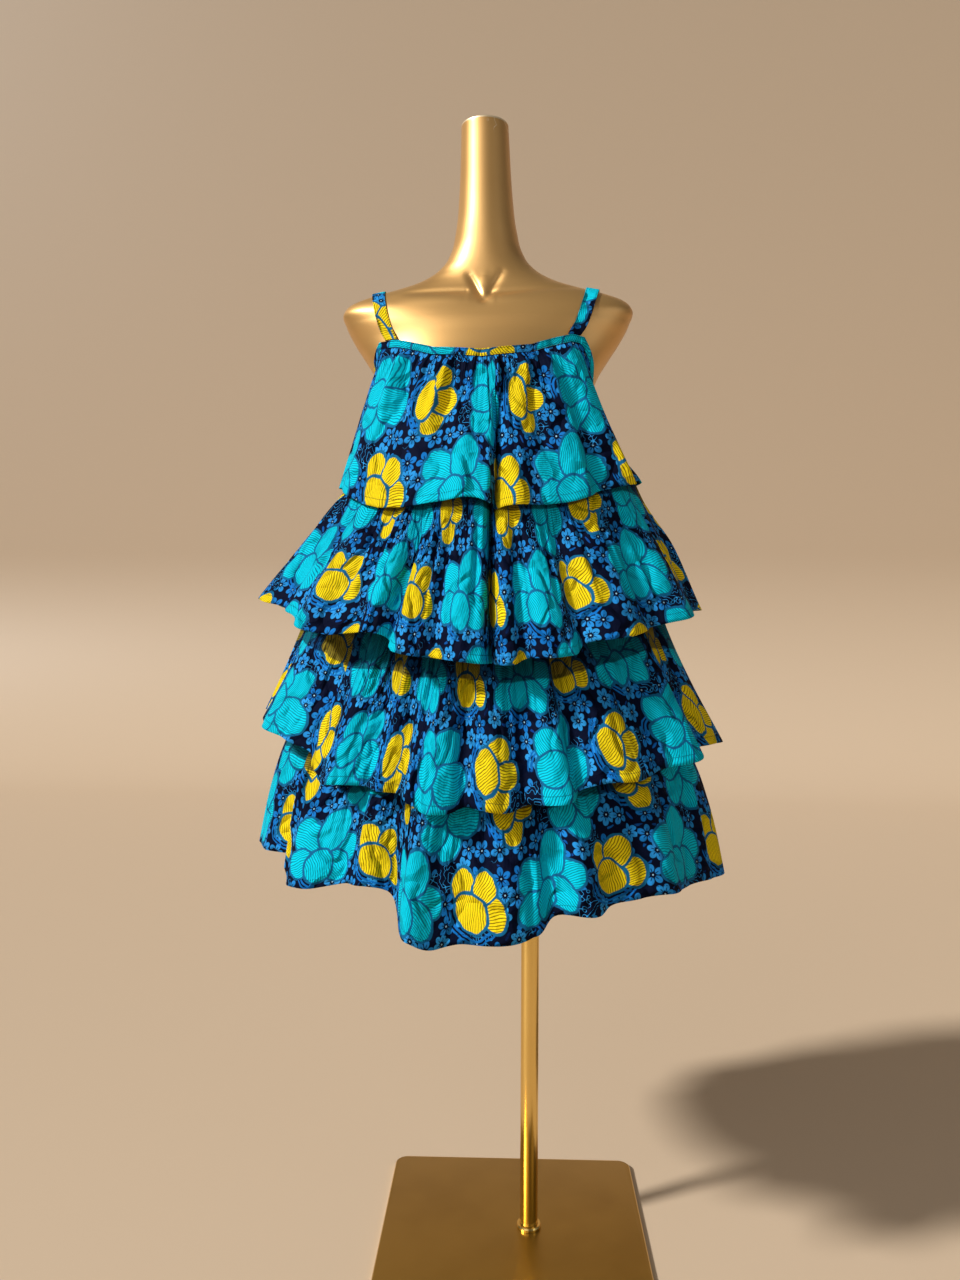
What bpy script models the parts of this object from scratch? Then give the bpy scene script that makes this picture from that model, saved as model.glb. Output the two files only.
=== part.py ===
"""A layered dress with four gathered tiers, worn on a smooth dress form with a round pole and a square plate.

Metres, +Z up. The front faces -Y and +X is to the viewer's right. The origin is the middle of the plate's underside.
Angles go round the body axis, in degrees from the front towards +X.
"""

import math

import bmesh
import bpy
import numpy as np

# Stand
PLATE_SIDE = 0.350
PLATE_THICK = 0.006
PLATE_CORNER = 0.018
PLATE_EDGE = 0.0008
PLATE_TURN = 2.2
POLE_AT = (0.0215, 0.007)
POLE_RADIUS = 0.0120
POLE_SIDES = 32
RING_RADIUS = 0.0165
RING_HEIGHT = 0.005

# Body axis, and the gap left between pieces that meet
BODY_AT = (-0.041, 0.008)
GAP = 0.0003

# Form sections: height, half-width, front depth, back depth, offset to the back, offset to the left, squareness
FORM = [
    (0.6650, 0.1150, 0.0750, 0.0800, 0.000, 0.0000, 2.00),
    (0.6680, 0.1380, 0.0920, 0.0980, 0.000, 0.0000, 2.00),
    (0.6800, 0.1510, 0.1030, 0.1100, 0.000, 0.0000, 2.00),
    (0.7200, 0.1570, 0.1080, 0.1180, 0.000, 0.0000, 2.00),
    (0.7800, 0.1560, 0.1080, 0.1170, 0.000, 0.0000, 2.00),
    (0.8500, 0.1380, 0.0980, 0.0980, 0.000, 0.0000, 2.00),
    (0.9300, 0.1160, 0.0870, 0.0820, 0.000, 0.0000, 2.00),
    (1.0000, 0.1210, 0.0960, 0.0840, 0.000, 0.0000, 2.00),
    (1.0600, 0.1310, 0.1080, 0.0900, 0.000, 0.0000, 2.00),
    (1.1100, 0.1390, 0.1120, 0.0960, 0.000, 0.0000, 2.00),
    (1.1450, 0.1480, 0.1020, 0.0980, 0.000, 0.0000, 2.00),
    (1.1700, 0.1630, 0.0850, 0.0950, 0.000, 0.0000, 2.00),
    (1.1950, 0.1790, 0.0730, 0.0880, 0.000, 0.0000, 2.08),
    (1.2180, 0.1905, 0.0650, 0.0780, 0.000, 0.0000, 2.35),
    (1.2360, 0.1945, 0.0560, 0.0660, 0.000, 0.0000, 2.60),
    (1.2480, 0.1830, 0.0500, 0.0560, 0.002, 0.0000, 2.60),
    (1.2570, 0.1590, 0.0465, 0.0500, 0.003, 0.0000, 2.50),
    (1.2650, 0.1320, 0.0440, 0.0470, 0.004, 0.0000, 2.30),
    (1.2740, 0.1040, 0.0425, 0.0450, 0.005, 0.0000, 2.10),
    (1.2850, 0.0800, 0.0420, 0.0440, 0.006, 0.0003, 2.00),
    (1.3000, 0.0605, 0.0420, 0.0430, 0.007, 0.0008, 2.00),
    (1.3200, 0.0485, 0.0420, 0.0420, 0.008, 0.0012, 2.00),
    (1.3500, 0.0412, 0.0405, 0.0405, 0.008, 0.0018, 2.00),
    (1.4000, 0.0360, 0.0365, 0.0365, 0.008, 0.0027, 2.00),
    (1.4500, 0.0335, 0.0335, 0.0335, 0.008, 0.0036, 2.00),
    (1.4900, 0.0322, 0.0322, 0.0322, 0.008, 0.0044, 2.00),
    (1.4945, 0.0300, 0.0300, 0.0300, 0.008, 0.0045, 2.00),
]
FORM_SIDES = 40

# Tiers: share of the way down, share of the way out
PROFILES = [
    [(0.0, 0.0), (0.30, 0.38), (0.60, 0.66), (1.0, 1.0)],
    [(0.0, 0.0), (0.25, 0.13), (0.60, 0.52), (1.0, 1.0)],
    [(0.0, 0.0), (0.50, 0.27), (0.75, 0.60), (1.0, 1.0)],
    [(0.0, 0.0), (0.40, 0.18), (0.56, 0.38), (0.68, 0.62), (0.79, 0.78), (1.0, 1.0)],
]
# Tier sections at the top and at the hem: left, right, front, back half-widths
TOPS = [
    (0.1535, 0.1520, 0.0930, 0.0990),
    (0.1800, 0.1900, 0.1530, 0.1450),
    (0.2120, 0.2120, 0.1580, 0.1550),
    (0.2330, 0.2400, 0.1820, 0.1780),
]
HEMS = [
    (0.1990, 0.2090, 0.1750, 0.1650),
    (0.2960, 0.2850, 0.2350, 0.2200),
    (0.2980, 0.3090, 0.2620, 0.2450),
    (0.2950, 0.3090, 0.2750, 0.2600),
]
WALL = 0.0012
HEM_WALL = 0.0018
HEM_SHARE = 0.06

# Top edge of the bands, all round: angle, height
EDGE = [
    (-172, 1.163), (-150, 1.168), (-135, 1.172), (-123, 1.174), (-113, 1.146), (-104, 1.128), (-95, 1.122), (-86, 1.126),
    (-78, 1.150), (-70, 1.186), (-61, 1.186), (-35, 1.169), (0, 1.1625), (35, 1.171), (61, 1.190), (67, 1.188),
    (75, 1.148), (82, 1.112), (90, 1.098), (97, 1.100), (105, 1.112), (114, 1.142), (123, 1.174), (135, 1.172), (150, 1.168),
]
# Seams of the three lower tiers: share of the way down the tier above
SEAMS = (0.72, 0.32, 0.32)
# Hems: angle, height
HEM_LINES = [
    [
        (-180, 0.972), (-150, 0.980), (-120, 0.992), (-95, 1.001), (-73, 0.996), (-56, 0.974), (-51, 0.966),
        (-40, 0.9585), (-29, 0.958), (-20, 0.962), (-10, 0.965), (-4, 0.968), (0, 0.9675), (6, 0.960),
        (8, 0.9536), (10, 0.957), (15, 0.959), (27, 0.960), (37, 0.9646), (46, 0.975), (62, 0.991), (84, 1.007),
        (100, 1.004), (125, 0.990), (150, 0.978),
    ],
    [
        (-180, 0.806), (-160, 0.812), (-135, 0.806), (-115, 0.826), (-98, 0.842), (-79, 0.852), (-57, 0.828),
        (-50, 0.812), (-43, 0.804), (-39, 0.806), (-32, 0.809), (-27, 0.807), (-25.5, 0.800), (-24, 0.790),
        (-20, 0.785), (-16, 0.7815), (-5, 0.777), (1, 0.774), (9, 0.772), (13, 0.774), (14.5, 0.780),
        (22, 0.781), (30, 0.784), (34, 0.798), (45, 0.806), (56, 0.816), (77, 0.838), (95, 0.836), (118, 0.822),
        (140, 0.804), (160, 0.810),
    ],
    [
        (-180, 0.640), (-160, 0.648), (-135, 0.646), (-115, 0.674), (-98, 0.698), (-77, 0.703), (-55, 0.679),
        (-49, 0.668), (-38, 0.634), (-33, 0.636), (-26, 0.632), (-18, 0.628), (-15, 0.620), (-11, 0.611),
        (-4, 0.610), (-1.5, 0.618), (10, 0.612), (13, 0.618), (25, 0.623), (27, 0.630), (33, 0.642),
        (42, 0.642), (49, 0.649), (61, 0.657), (64, 0.667), (76, 0.669), (95, 0.664), (118, 0.648), (140, 0.652),
        (160, 0.642),
    ],
    [
        (-180, 0.492), (-160, 0.500), (-135, 0.490), (-115, 0.502), (-95, 0.523), (-76, 0.532), (-58, 0.534),
        (-52.5, 0.528), (-50, 0.510), (-42, 0.511), (-33, 0.522), (-25, 0.527), (-21, 0.523), (-18.5, 0.515),
        (-17, 0.496), (-15, 0.479), (-12.6, 0.476), (-9, 0.4645), (-2, 0.470), (7, 0.474), (12, 0.476),
        (17.5, 0.482), (20, 0.496), (24, 0.502), (31, 0.498), (36, 0.506), (46, 0.513), (60, 0.508), (76, 0.505),
        (95, 0.500), (118, 0.490), (140, 0.496), (160, 0.488),
    ],
]
# Folds of the front: angle at top, angle at hem, height out, reach left, reach right, start, full, gone
FOLDS = [
    [
        (-72, -78, -0.007, 9, 9, 0.30, 1.0, 9), (-58, -62, 0.006, 9, 10, 0.10, 0.9, 9),
        (-46, -49, -0.009, 5, 6, 0.00, 0.2, 0.8), (-36, -40, 0.006, 8, 9, 0.10, 0.8, 9),
        (-18, -22, -0.009, 5, 6, 0.00, 0.2, 0.9), (-6, -6, 0.007, 7, 8, 0.20, 0.9, 9),
        (11, 7.5, -0.014, 4, 4, 0.00, 0.3, 9), (19, 16, 0.006, 6, 8, 0.20, 0.8, 9),
        (28, 31, -0.006, 5, 6, 0.00, 0.3, 0.9), (38, 40, 0.006, 8, 8, 0.20, 0.9, 9),
        (50, 52, -0.008, 6, 7, 0.00, 0.4, 9), (62, 66, 0.006, 8, 9, 0.30, 1.0, 9), (74, 80, -0.006, 8, 9, 0.30, 1.0, 9),
        (88, 88, -0.008, 36, 36, 0.00, 0.35, 1.0),
    ],
    [
        (-74, -76, 0.008, 8, 8, 0.20, 1.0, 9), (-64, -66, -0.012, 7, 7, 0.10, 1.0, 9),
        (-50, -50, 0.012, 6, 9, 0.20, 0.9, 9), (-37, -36, -0.013, 6, 6, 0.05, 0.8, 9),
        (-29, -29, 0.006, 4, 4, 0.20, 0.9, 9), (-22, -25.5, -0.014, 5, 2, 0.05, 0.7, 9),
        (-18, -21, 0.010, 3, 8, 0.20, 0.8, 9), (-10, -12, -0.010, 4, 4, 0.05, 0.7, 9),
        (-4, -5, 0.007, 4, 5, 0.20, 0.9, 9), (6, 5.5, -0.018, 3.5, 3.5, 0.00, 0.4, 9),
        (9, 9.5, 0.012, 3, 5, 0.20, 0.8, 9), (15, 14.5, -0.008, 3, 4, 0.00, 0.5, 9),
        (22, 22, 0.008, 6, 7, 0.30, 1.0, 9), (30, 33, -0.014, 5, 6, 0.05, 0.8, 9),
        (43, 43, 0.009, 7, 8, 0.20, 0.9, 9), (54, 55, -0.010, 6, 7, 0.10, 0.9, 9),
        (65, 66, 0.008, 7, 7, 0.20, 1.0, 9), (77, 79, -0.009, 8, 8, 0.20, 1.0, 9),
        (88, 88, 0.005, 30, 30, 0.00, 0.50, 1.1),
    ],
    [
        (-76, -78, -0.010, 8, 8, 0.20, 1.0, 9), (-62, -62, 0.010, 7, 8, 0.20, 1.0, 9),
        (-52, -48, -0.014, 7, 5, 0.10, 0.9, 9), (-40, -36, 0.011, 5, 8, 0.20, 0.9, 9),
        (-30, -28, -0.010, 5, 5, 0.05, 0.7, 9), (-21, -19, -0.012, 5, 4, 0.05, 0.6, 9),
        (-12, -9, 0.014, 5, 6, 0.10, 0.8, 9), (-3, -1.5, -0.014, 4, 4, 0.05, 0.7, 9),
        (5, 6, 0.011, 6, 7, 0.20, 0.9, 9), (16, 15, -0.012, 5, 4, 0.05, 0.7, 9),
        (23, 22, 0.010, 6, 5, 0.20, 0.9, 9), (29, 28.5, -0.015, 4, 5, 0.05, 0.6, 9),
        (40, 40, 0.009, 7, 8, 0.20, 0.9, 9), (51, 51, -0.009, 6, 6, 0.10, 0.9, 9),
        (61, 61, 0.012, 8, 4, 0.20, 1.0, 9), (68, 68, -0.013, 5, 7, 0.20, 1.0, 9), (79, 80, 0.006, 7, 8, 0.20, 1.0, 9),
    ],
    [
        (-80, -80, 0.006, 8, 8, 0.30, 1.0, 9), (-60, -58, -0.018, 9, 7, 0.30, 1.0, 9),
        (-50, -48, 0.010, 4, 9, 0.30, 1.0, 9), (-36, -34, -0.014, 8, 8, 0.20, 0.9, 9),
        (-22, -19, -0.016, 7, 4, 0.30, 1.0, 9), (-13, -13, 0.016, 4, 8, 0.30, 0.9, 9),
        (-3, -2, -0.008, 6, 6, 0.20, 0.9, 9), (9, 9, 0.010, 8, 8, 0.30, 1.0, 9),
        (20, 20.5, -0.015, 5, 5, 0.10, 0.8, 9), (29, 27, 0.010, 5, 5, 0.30, 1.0, 9),
        (36, 35, -0.012, 5, 7, 0.20, 0.9, 9), (49, 49, 0.009, 9, 9, 0.30, 1.0, 9),
        (62, 62, -0.009, 7, 8, 0.20, 0.9, 9), (76, 76, 0.009, 8, 9, 0.30, 1.0, 9),
    ],
]
# Even gathers of each tier: waves all round, height at the seam, height at the hem
GATHERS = [(18, 0.0008, 0.0012), (18, 0.0015, 0.0018), (18, 0.0015, 0.0020), (18, 0.0015, 0.0016)]
# A fold that starts at the top edge stands out there by this share
PLEAT_TOP = 0.30
BACK_TURN = 5.0
BACK_SHARE = 0.85

# Free room between a tier and the one above it
LAYER_GAP = 0.0005
LAYER_ROOM = 0.0080
LAYER_SOFT = 0.0030
FORM_ROOM = 0.0037
BAND_ROOM = 0.0042
ROOM_RAMP = 0.040
SEAM_BLEND = 0.16
HEM_RELEASE = 1.2
FORM_SOFT = 0.0009
MOST_SLANT = 1.8

# Cloth grid: columns all round, how much a steep edge draws them together, rows down
COLUMNS = 104
EDGE_SHARE = 900.0
BEND_SHARE = 1.2
MOST_BEND = 4.0
NEAREST = 0.2
ROW_SHARES = (0.0, 0.14, 0.32, 0.52, 0.72, 0.88, 1.0)

# Bands
BAND_HEIGHT = 0.0095
MOST_EDGE_SLANT = 1.6
BAND_WALL = 0.0018
BAND_OUT = 0.0004
# Bands: name, first angle, last angle
BANDS = [
    ("neckline_band_front", -69.0, 66.0),
    ("armhole_band_right", 66.0, 124.0),
    ("neckline_band_back", 124.0, 236.0),
    ("armhole_band_left", 236.0, 291.0),
]

# Straps: name, front x, top x, back x
STRAPS = [("strap_left", -0.1215, -0.1450, -0.0920), ("strap_right", 0.1165, 0.1425, 0.0920)]
STRAP_WIDTH = 0.0175
STRAP_WALL = 0.0018
STRAP_STEPS = 22
STRAP_ACROSS = 3
STRAP_LIFT = 0.0007
STRAP_TILT = 0.0016
STRAP_BLEND = 0.30
STRAP_END_GAP = 0.0010
SHOULDER_LEVEL = 1.170

# Edges sharper than this stay sharp in the smooth shading
SHARP_ANGLE = 50.0

GOLD = (0.62, 0.40, 0.14, 1.0)
BRASS = (0.50, 0.34, 0.14, 1.0)
PRINT = (0.02, 0.10, 0.30, 1.0)
TRIM = (0.02, 0.42, 0.50, 1.0)


def smooth(share):
    share = np.clip(share, 0.0, 1.0)
    return share * share * (3.0 - 2.0 * share)


def curve(rows, at):
    """A smooth curve through short table rows, for the values at."""
    rows = np.array(rows, float)
    x = rows[:, 0]
    slope = np.gradient(rows[:, 1:], x, axis=0)
    at = np.clip(np.asarray(at, float), x[0], x[-1])
    i = np.clip(np.searchsorted(x, at, side="right") - 1, 0, len(x) - 2)
    step = (x[i + 1] - x[i])[..., None]
    t = (at - x[i])[..., None] / step
    y0, y1 = rows[i, 1:], rows[i + 1, 1:]
    m0, m1 = slope[i] * step, slope[i + 1] * step
    return (
        y0 * (1 + 2 * t) * (1 - t) ** 2
        + m0 * t * (1 - t) ** 2
        + y1 * t * t * (3 - 2 * t)
        - m1 * t * t * (1 - t)
    )


def round_line(rows, angles):
    """Heights all round from rows of angle and height."""
    at, height = zip(*rows)
    return np.interp(np.asarray(angles), at, height, period=360.0)


def section(sizes, angles):
    """Radius of an oval with its own left, right, front and back half-widths."""
    left, right, front, back = sizes
    s, c = np.sin(np.radians(angles)), np.cos(np.radians(angles))
    side = np.where(s > 0, right, left)
    depth = np.where(c > 0, front, back)
    return 1.0 / np.sqrt((s / side) ** 2 + (c / depth) ** 2)


def form_radius(angles, heights):
    """Radius of the form, about its own middle at that height."""
    width, front, back, _, _, power = np.moveaxis(curve(FORM, heights), -1, 0)
    s, c = np.abs(np.sin(np.radians(angles))), np.cos(np.radians(angles))
    depth = np.where(c > 0, front, back)
    return ((s / width) ** power + (np.abs(c) / depth) ** power) ** (-1.0 / power)


def all_folds(tier):
    """The front folds and ones like them at the back."""
    rows = list(FOLDS[tier])
    for top, hem, out, left, right, start, full, gone in FOLDS[tier]:
        turn = BACK_TURN * math.sin(3.0 * math.radians(hem))
        rows.append((180 - top + turn, 180 - hem + turn, out * BACK_SHARE, right, left, start, full, gone))
    return rows


def fold_height(tier, angles, share):
    """How far the folds and gathers stand out, for the share of the way down."""
    total = np.zeros(np.broadcast(angles, share).shape)
    for top, hem, out, left, right, start, full, gone in all_folds(tier):
        middle = top + (hem - top) * share
        off = (angles - middle + 180.0) % 360.0 - 180.0
        reach = np.where(off < 0, left, right)
        bump = np.cos(0.5 * math.pi * np.clip(off / reach, -1.0, 1.0)) ** 2
        grow = PLEAT_TOP * (start == 0.0) + smooth((share - start) / (full - start))
        fade = 1.0 - smooth((share - full) / (gone - full))
        total += out * bump * np.minimum(grow, 1.0) * fade
    waves, at_seam, at_hem = GATHERS[tier]
    turn = np.radians(angles)
    phase = waves * turn + 1.7 * np.sin(3.0 * turn + tier) + 0.9 * np.sin(7.0 * turn)
    return total + (at_seam + (at_hem - at_seam) * share) * np.sin(phase)


def edge_slant(angles):
    """How much longer the upper edge is than level, where it runs steeply."""
    step = 2.0
    rise = round_line(EDGE, angles + step) - round_line(EDGE, angles - step)
    run = 2.0 * math.radians(step) * section(TOPS[0], angles)
    return np.minimum(np.sqrt(1.0 + (rise / run) ** 2), MOST_EDGE_SLANT)


def band_drop(angles):
    return BAND_HEIGHT * edge_slant(angles)


def soft_min(a, b, soft):
    low = np.minimum(a, b)
    return low - soft * np.log(np.exp((low - a) / soft) + np.exp((low - b) / soft))


def tier_grid(tier, angles, shares, above):
    """Heights, outer and inner radii of a tier, as rows of points by angle."""
    share = np.asarray(shares)[:, None]
    angle = np.asarray(angles)[None, :]
    if above is None:
        top = round_line(EDGE, angle) - band_drop(angle) - GAP * edge_slant(angle)
    else:
        z_up, r_up = above
        top = z_up[ROW_SHARES.index(SEAMS[tier - 1])][None, :]
    hem = round_line(HEM_LINES[tier], angle)
    z = top + (hem - top) * share
    out = curve(PROFILES[tier], share)[..., 0]
    base = section(TOPS[tier], angle)
    r = base + (section(HEMS[tier], angle) - base) * out + fold_height(tier, angle, share)
    r = -soft_min(-r, -(form_radius(angle, z) + FORM_ROOM), FORM_SOFT)
    if above is not None:
        over = np.empty_like(r)
        for i in range(z.shape[1]):
            over[:, i] = np.interp(-z[:, i], -z_up[:, i], r_up[:, i])
        room = LAYER_GAP + LAYER_ROOM * smooth((top - z) / ROOM_RAMP)
        under = np.maximum(z_up[-1][None, :] - z, 0.0)
        free = soft_min(r, over - room + HEM_RELEASE * under, LAYER_SOFT)
        r = over - LAYER_GAP + (free - over + LAYER_GAP) * smooth(share / SEAM_BLEND)
    wall = WALL + (HEM_WALL - WALL) * smooth((share - 1.0 + HEM_SHARE) / HEM_SHARE)
    ring = np.radians(np.concatenate([[angles[-1] - 360.0], angles, [angles[0] + 360.0]]))
    around = np.gradient(np.concatenate([r[:, -1:], r, r[:, :1]], axis=1), ring, axis=1)[:, 1:-1] / r
    down = np.gradient(r, axis=0) / np.minimum(np.gradient(z, axis=0), -1e-4)
    slant = np.clip(np.sqrt(1.0 + around**2 + down**2), 1.0, MOST_SLANT)
    return z, r, r - wall * slant


def column_angles(count):
    """Angles for the columns of the cloth, closer together where it folds sharply."""
    fine = np.arange(-180.0, 180.0, 0.5)
    bend = np.zeros_like(fine)
    for tier in range(len(HEMS)):
        line = fold_height(tier, fine, 1.0) + fold_height(tier, fine, 0.5)
        bend += np.abs(np.roll(line, 1) + np.roll(line, -1) - 2.0 * line)
    bend = bend / bend.mean() + EDGE_SHARE * np.abs(np.gradient(round_line(EDGE, fine)))
    weight = 1.0 + BEND_SHARE * np.minimum(bend, MOST_BEND)
    half = len(fine) // 2
    angles = []
    for part in (slice(0, half), slice(half, None)):
        total = np.concatenate([[0.0], np.cumsum(weight[part])])
        spots = np.interp(np.linspace(0, total[-1], count // 2 + 1), total, np.linspace(0, 180, half + 1))
        angles.append(spots + (-180.0 if part.start == 0 else 0.0))
    angles = np.concatenate([angles[0][:-1], angles[1][:-1]])
    for seam in [-90.0, 90.0] + [(row[1] + 180.0) % 360.0 - 180.0 for row in BANDS]:
        angles[np.argmin(np.abs(angles - seam))] = seam
    return angles


def place(angle, radius, height):
    turn = np.radians(angle)
    x = BODY_AT[0] + radius * np.sin(turn)
    y = BODY_AT[1] - radius * np.cos(turn)
    return np.stack(np.broadcast_arrays(x, y, height), axis=-1)


def collection():
    made = bpy.data.collections.new("layered_dress")
    bpy.context.scene.collection.children.link(made)
    return made


def material(name, colour, metallic, roughness):
    made = bpy.data.materials.new(name)
    made.use_nodes = True
    shader = made.node_tree.nodes["Principled BSDF"]
    shader.inputs["Base Color"].default_value = colour
    shader.inputs["Metallic"].default_value = metallic
    shader.inputs["Roughness"].default_value = roughness
    return made


def finish(mesh, name, into, look):
    made = bpy.data.objects.new(name, mesh)
    into.objects.link(made)
    mesh.materials.append(material(name, *look))
    return made


def skin(name, points, faces, into, look):
    mesh = bpy.data.meshes.new(name)
    mesh.from_pydata([tuple(p) for p in points.tolist()], [], faces)
    mesh.update()
    bm = bmesh.new()
    bm.from_mesh(mesh)
    bmesh.ops.recalc_face_normals(bm, faces=bm.faces)
    if bm.calc_volume(signed=True) < 0:
        bmesh.ops.reverse_faces(bm, faces=bm.faces)
    bm.to_mesh(mesh)
    bm.free()
    mesh.shade_smooth()
    mesh.set_sharp_from_angle(angle=math.radians(SHARP_ANGLE))
    return finish(mesh, name, into, look)


def sheet(name, outer, inner, into, look):
    """A closed thin wall between two grids of points."""
    rows, columns = outer.shape[:2]
    points = np.concatenate([outer.reshape(-1, 3), inner.reshape(-1, 3)])
    index = np.arange(2 * rows * columns).reshape(2, rows, columns)
    faces = []
    for i in range(rows - 1):
        for j in range(columns - 1):
            a, b, c, d = index[0, i, j], index[0, i + 1, j], index[0, i + 1, j + 1], index[0, i, j + 1]
            faces += [(a, b, c), (a, c, d)]
            a, b, c, d = index[1, i, j], index[1, i + 1, j], index[1, i + 1, j + 1], index[1, i, j + 1]
            faces += [(a, c, b), (a, d, c)]
    rim = [(0, j) for j in range(columns)]
    rim += [(i, columns - 1) for i in range(1, rows)]
    rim += [(rows - 1, j) for j in range(columns - 2, -1, -1)]
    rim += [(i, 0) for i in range(rows - 2, 0, -1)]
    for (i, j), (k, m) in zip(rim, rim[1:] + rim[:1]):
        faces.append((index[0, i, j], index[0, k, m], index[1, k, m], index[1, i, j]))
    return skin(name, points, [tuple(int(n) for n in face) for face in faces], into, look)


def lathe(name, profile, at, sides, into, look):
    """A turned solid: profile rows of radius and height, spun about a line through at."""
    mesh = bpy.data.meshes.new(name)
    mesh.from_pydata([(r, 0.0, z) for r, z in profile], [(i, i + 1) for i in range(len(profile) - 1)], [])
    made = finish(mesh, name, into, look)
    made.location = (at[0], at[1], 0.0)
    spin = made.modifiers.new("spin", "SCREW")
    spin.steps = spin.render_steps = sides
    spin.use_merge_vertices = True
    spin.merge_threshold = 0.00005
    spin.use_normal_flip = True
    return made


def base_plate(into):
    mesh = bpy.data.meshes.new("base_plate")
    bm = bmesh.new()
    bmesh.ops.create_cube(bm, size=1.0)
    bmesh.ops.scale(bm, verts=bm.verts, vec=(PLATE_SIDE, PLATE_SIDE, PLATE_THICK))
    bmesh.ops.translate(bm, verts=bm.verts, vec=(0, 0, PLATE_THICK / 2))
    upright = [e for e in bm.edges if abs(e.verts[0].co.z - e.verts[1].co.z) > PLATE_THICK / 2]
    bmesh.ops.bevel(bm, geom=upright, offset=PLATE_CORNER, segments=6, profile=0.5, affect="EDGES")
    bm.to_mesh(mesh)
    bm.free()
    made = finish(mesh, "base_plate", into, (BRASS, 1.0, 0.35))
    made.rotation_euler = (0, 0, math.radians(PLATE_TURN))
    edge = made.modifiers.new("edge", "BEVEL")
    edge.width = PLATE_EDGE
    edge.segments = 2
    edge.limit_method = "ANGLE"
    edge.angle_limit = math.radians(50)
    return made


def form_body(into):
    heights = np.array([row[0] for row in FORM])
    angles = np.arange(FORM_SIDES) * 360.0 / FORM_SIDES
    rings = place(angles[None, :], form_radius(angles[None, :], heights[:, None]), heights[:, None])
    rings[..., 1] += np.array(FORM)[:, None, 4]
    rings[..., 0] -= np.array(FORM)[:, None, 5]
    count = FORM_SIDES
    faces = []
    for i in range(len(heights) - 1):
        for j in range(count):
            k = (j + 1) % count
            a, b, c, d = i * count + j, i * count + k, (i + 1) * count + k, (i + 1) * count + j
            faces += [(a, b, c), (a, c, d)]
    faces.append(tuple(reversed(range(count))))
    faces.append(tuple((len(heights) - 1) * count + j for j in range(count)))
    return skin("form_body", rings.reshape(-1, 3), faces, into, (GOLD, 1.0, 0.3))


def spots_between(angles, start, end, seam):
    """The columns between two angles, with the ends drawn in by the seam."""
    twice = np.concatenate([angles, angles + 360.0])
    keep = (twice > start + seam + NEAREST) & (twice < end - seam - NEAREST)
    return np.concatenate([[start + seam], twice[keep], [end - seam]])


def at_spots(grid, angles, spots):
    """Rows of a grid read at other angles."""
    return np.array([np.interp(spots, angles, row, period=360.0) for row in grid])


def cloth(into, angles):
    """The four tiers, each as a front and a back panel. Returns the top ring of the first."""
    above = None
    first = None
    for tier in range(len(HEMS)):
        z, outer, inner = tier_grid(tier, angles, ROW_SHARES, above)
        above = (z, inner)
        if first is None:
            first = outer[0]
        seam = math.degrees(GAP / 2 / TOPS[tier][0])
        for side, start, end in (("front", -90.0, 90.0), ("back", 90.0, 270.0)):
            spots = spots_between(angles, start, end, seam)
            z_at, out_at, in_at = (at_spots(grid, angles, spots) for grid in (z, outer, inner))
            name = f"tier_{tier + 1}_{side}"
            sheet(name, place(spots, out_at, z_at), place(spots, in_at, z_at), into, (PRINT, 0.0, 0.8))
    return first


def edge_ring(first, angles):
    """Outer radii of the bands all round: upper and lower edge, with their heights."""
    top = round_line(EDGE, angles)
    z = np.stack([top, top - band_drop(angles)])
    out = np.maximum(first[None, :] + BAND_OUT, form_radius(angles[None, :], z) + BAND_ROOM)
    return z, out


def bands(into, angles, first):
    z, out = edge_ring(first, angles)
    for name, start, end in BANDS:
        spots = spots_between(angles, start, end, math.degrees(GAP / 2 / TOPS[0][2]))
        z_at, out_at = at_spots(z, angles, spots), at_spots(out, angles, spots)
        sheet(name, place(spots, out_at, z_at), place(spots, out_at - BAND_WALL, z_at), into, (TRIM, 0.0, 0.8))


def shoulder_distance(x, turn):
    """How far the form reaches from a line inside the shoulder, by the angle up from the front."""
    low, high = 0.0, 0.14
    for _ in range(40):
        reach = 0.5 * (low + high)
        y = -reach * math.cos(turn)
        z = SHOULDER_LEVEL + reach * math.sin(turn)
        width, front, back, offset, _, power = curve(FORM, z)
        y -= offset
        depth = front if y < 0 else back
        if abs(x / width) ** power + abs(y / depth) ** power < 1.0:
            low = reach
        else:
            high = reach
    return low


def band_point(x, angles, first, back):
    """Where a band's top edge passes this distance from the middle: depth and height."""
    z, out = edge_ring(first, angles)
    spots = np.linspace(100.0, 175.0, 601) if back else np.linspace(5.0, 80.0, 601)
    spots = spots * (1.0 if x > 0 else -1.0)
    top = np.interp(spots, angles, z[0], period=360.0)
    radius = np.interp(spots, angles, out[0], period=360.0)
    best = int(np.argmin(np.abs(radius * np.sin(np.radians(spots)) - x)))
    return -radius[best] * math.cos(math.radians(spots[best])), top[best]


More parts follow.
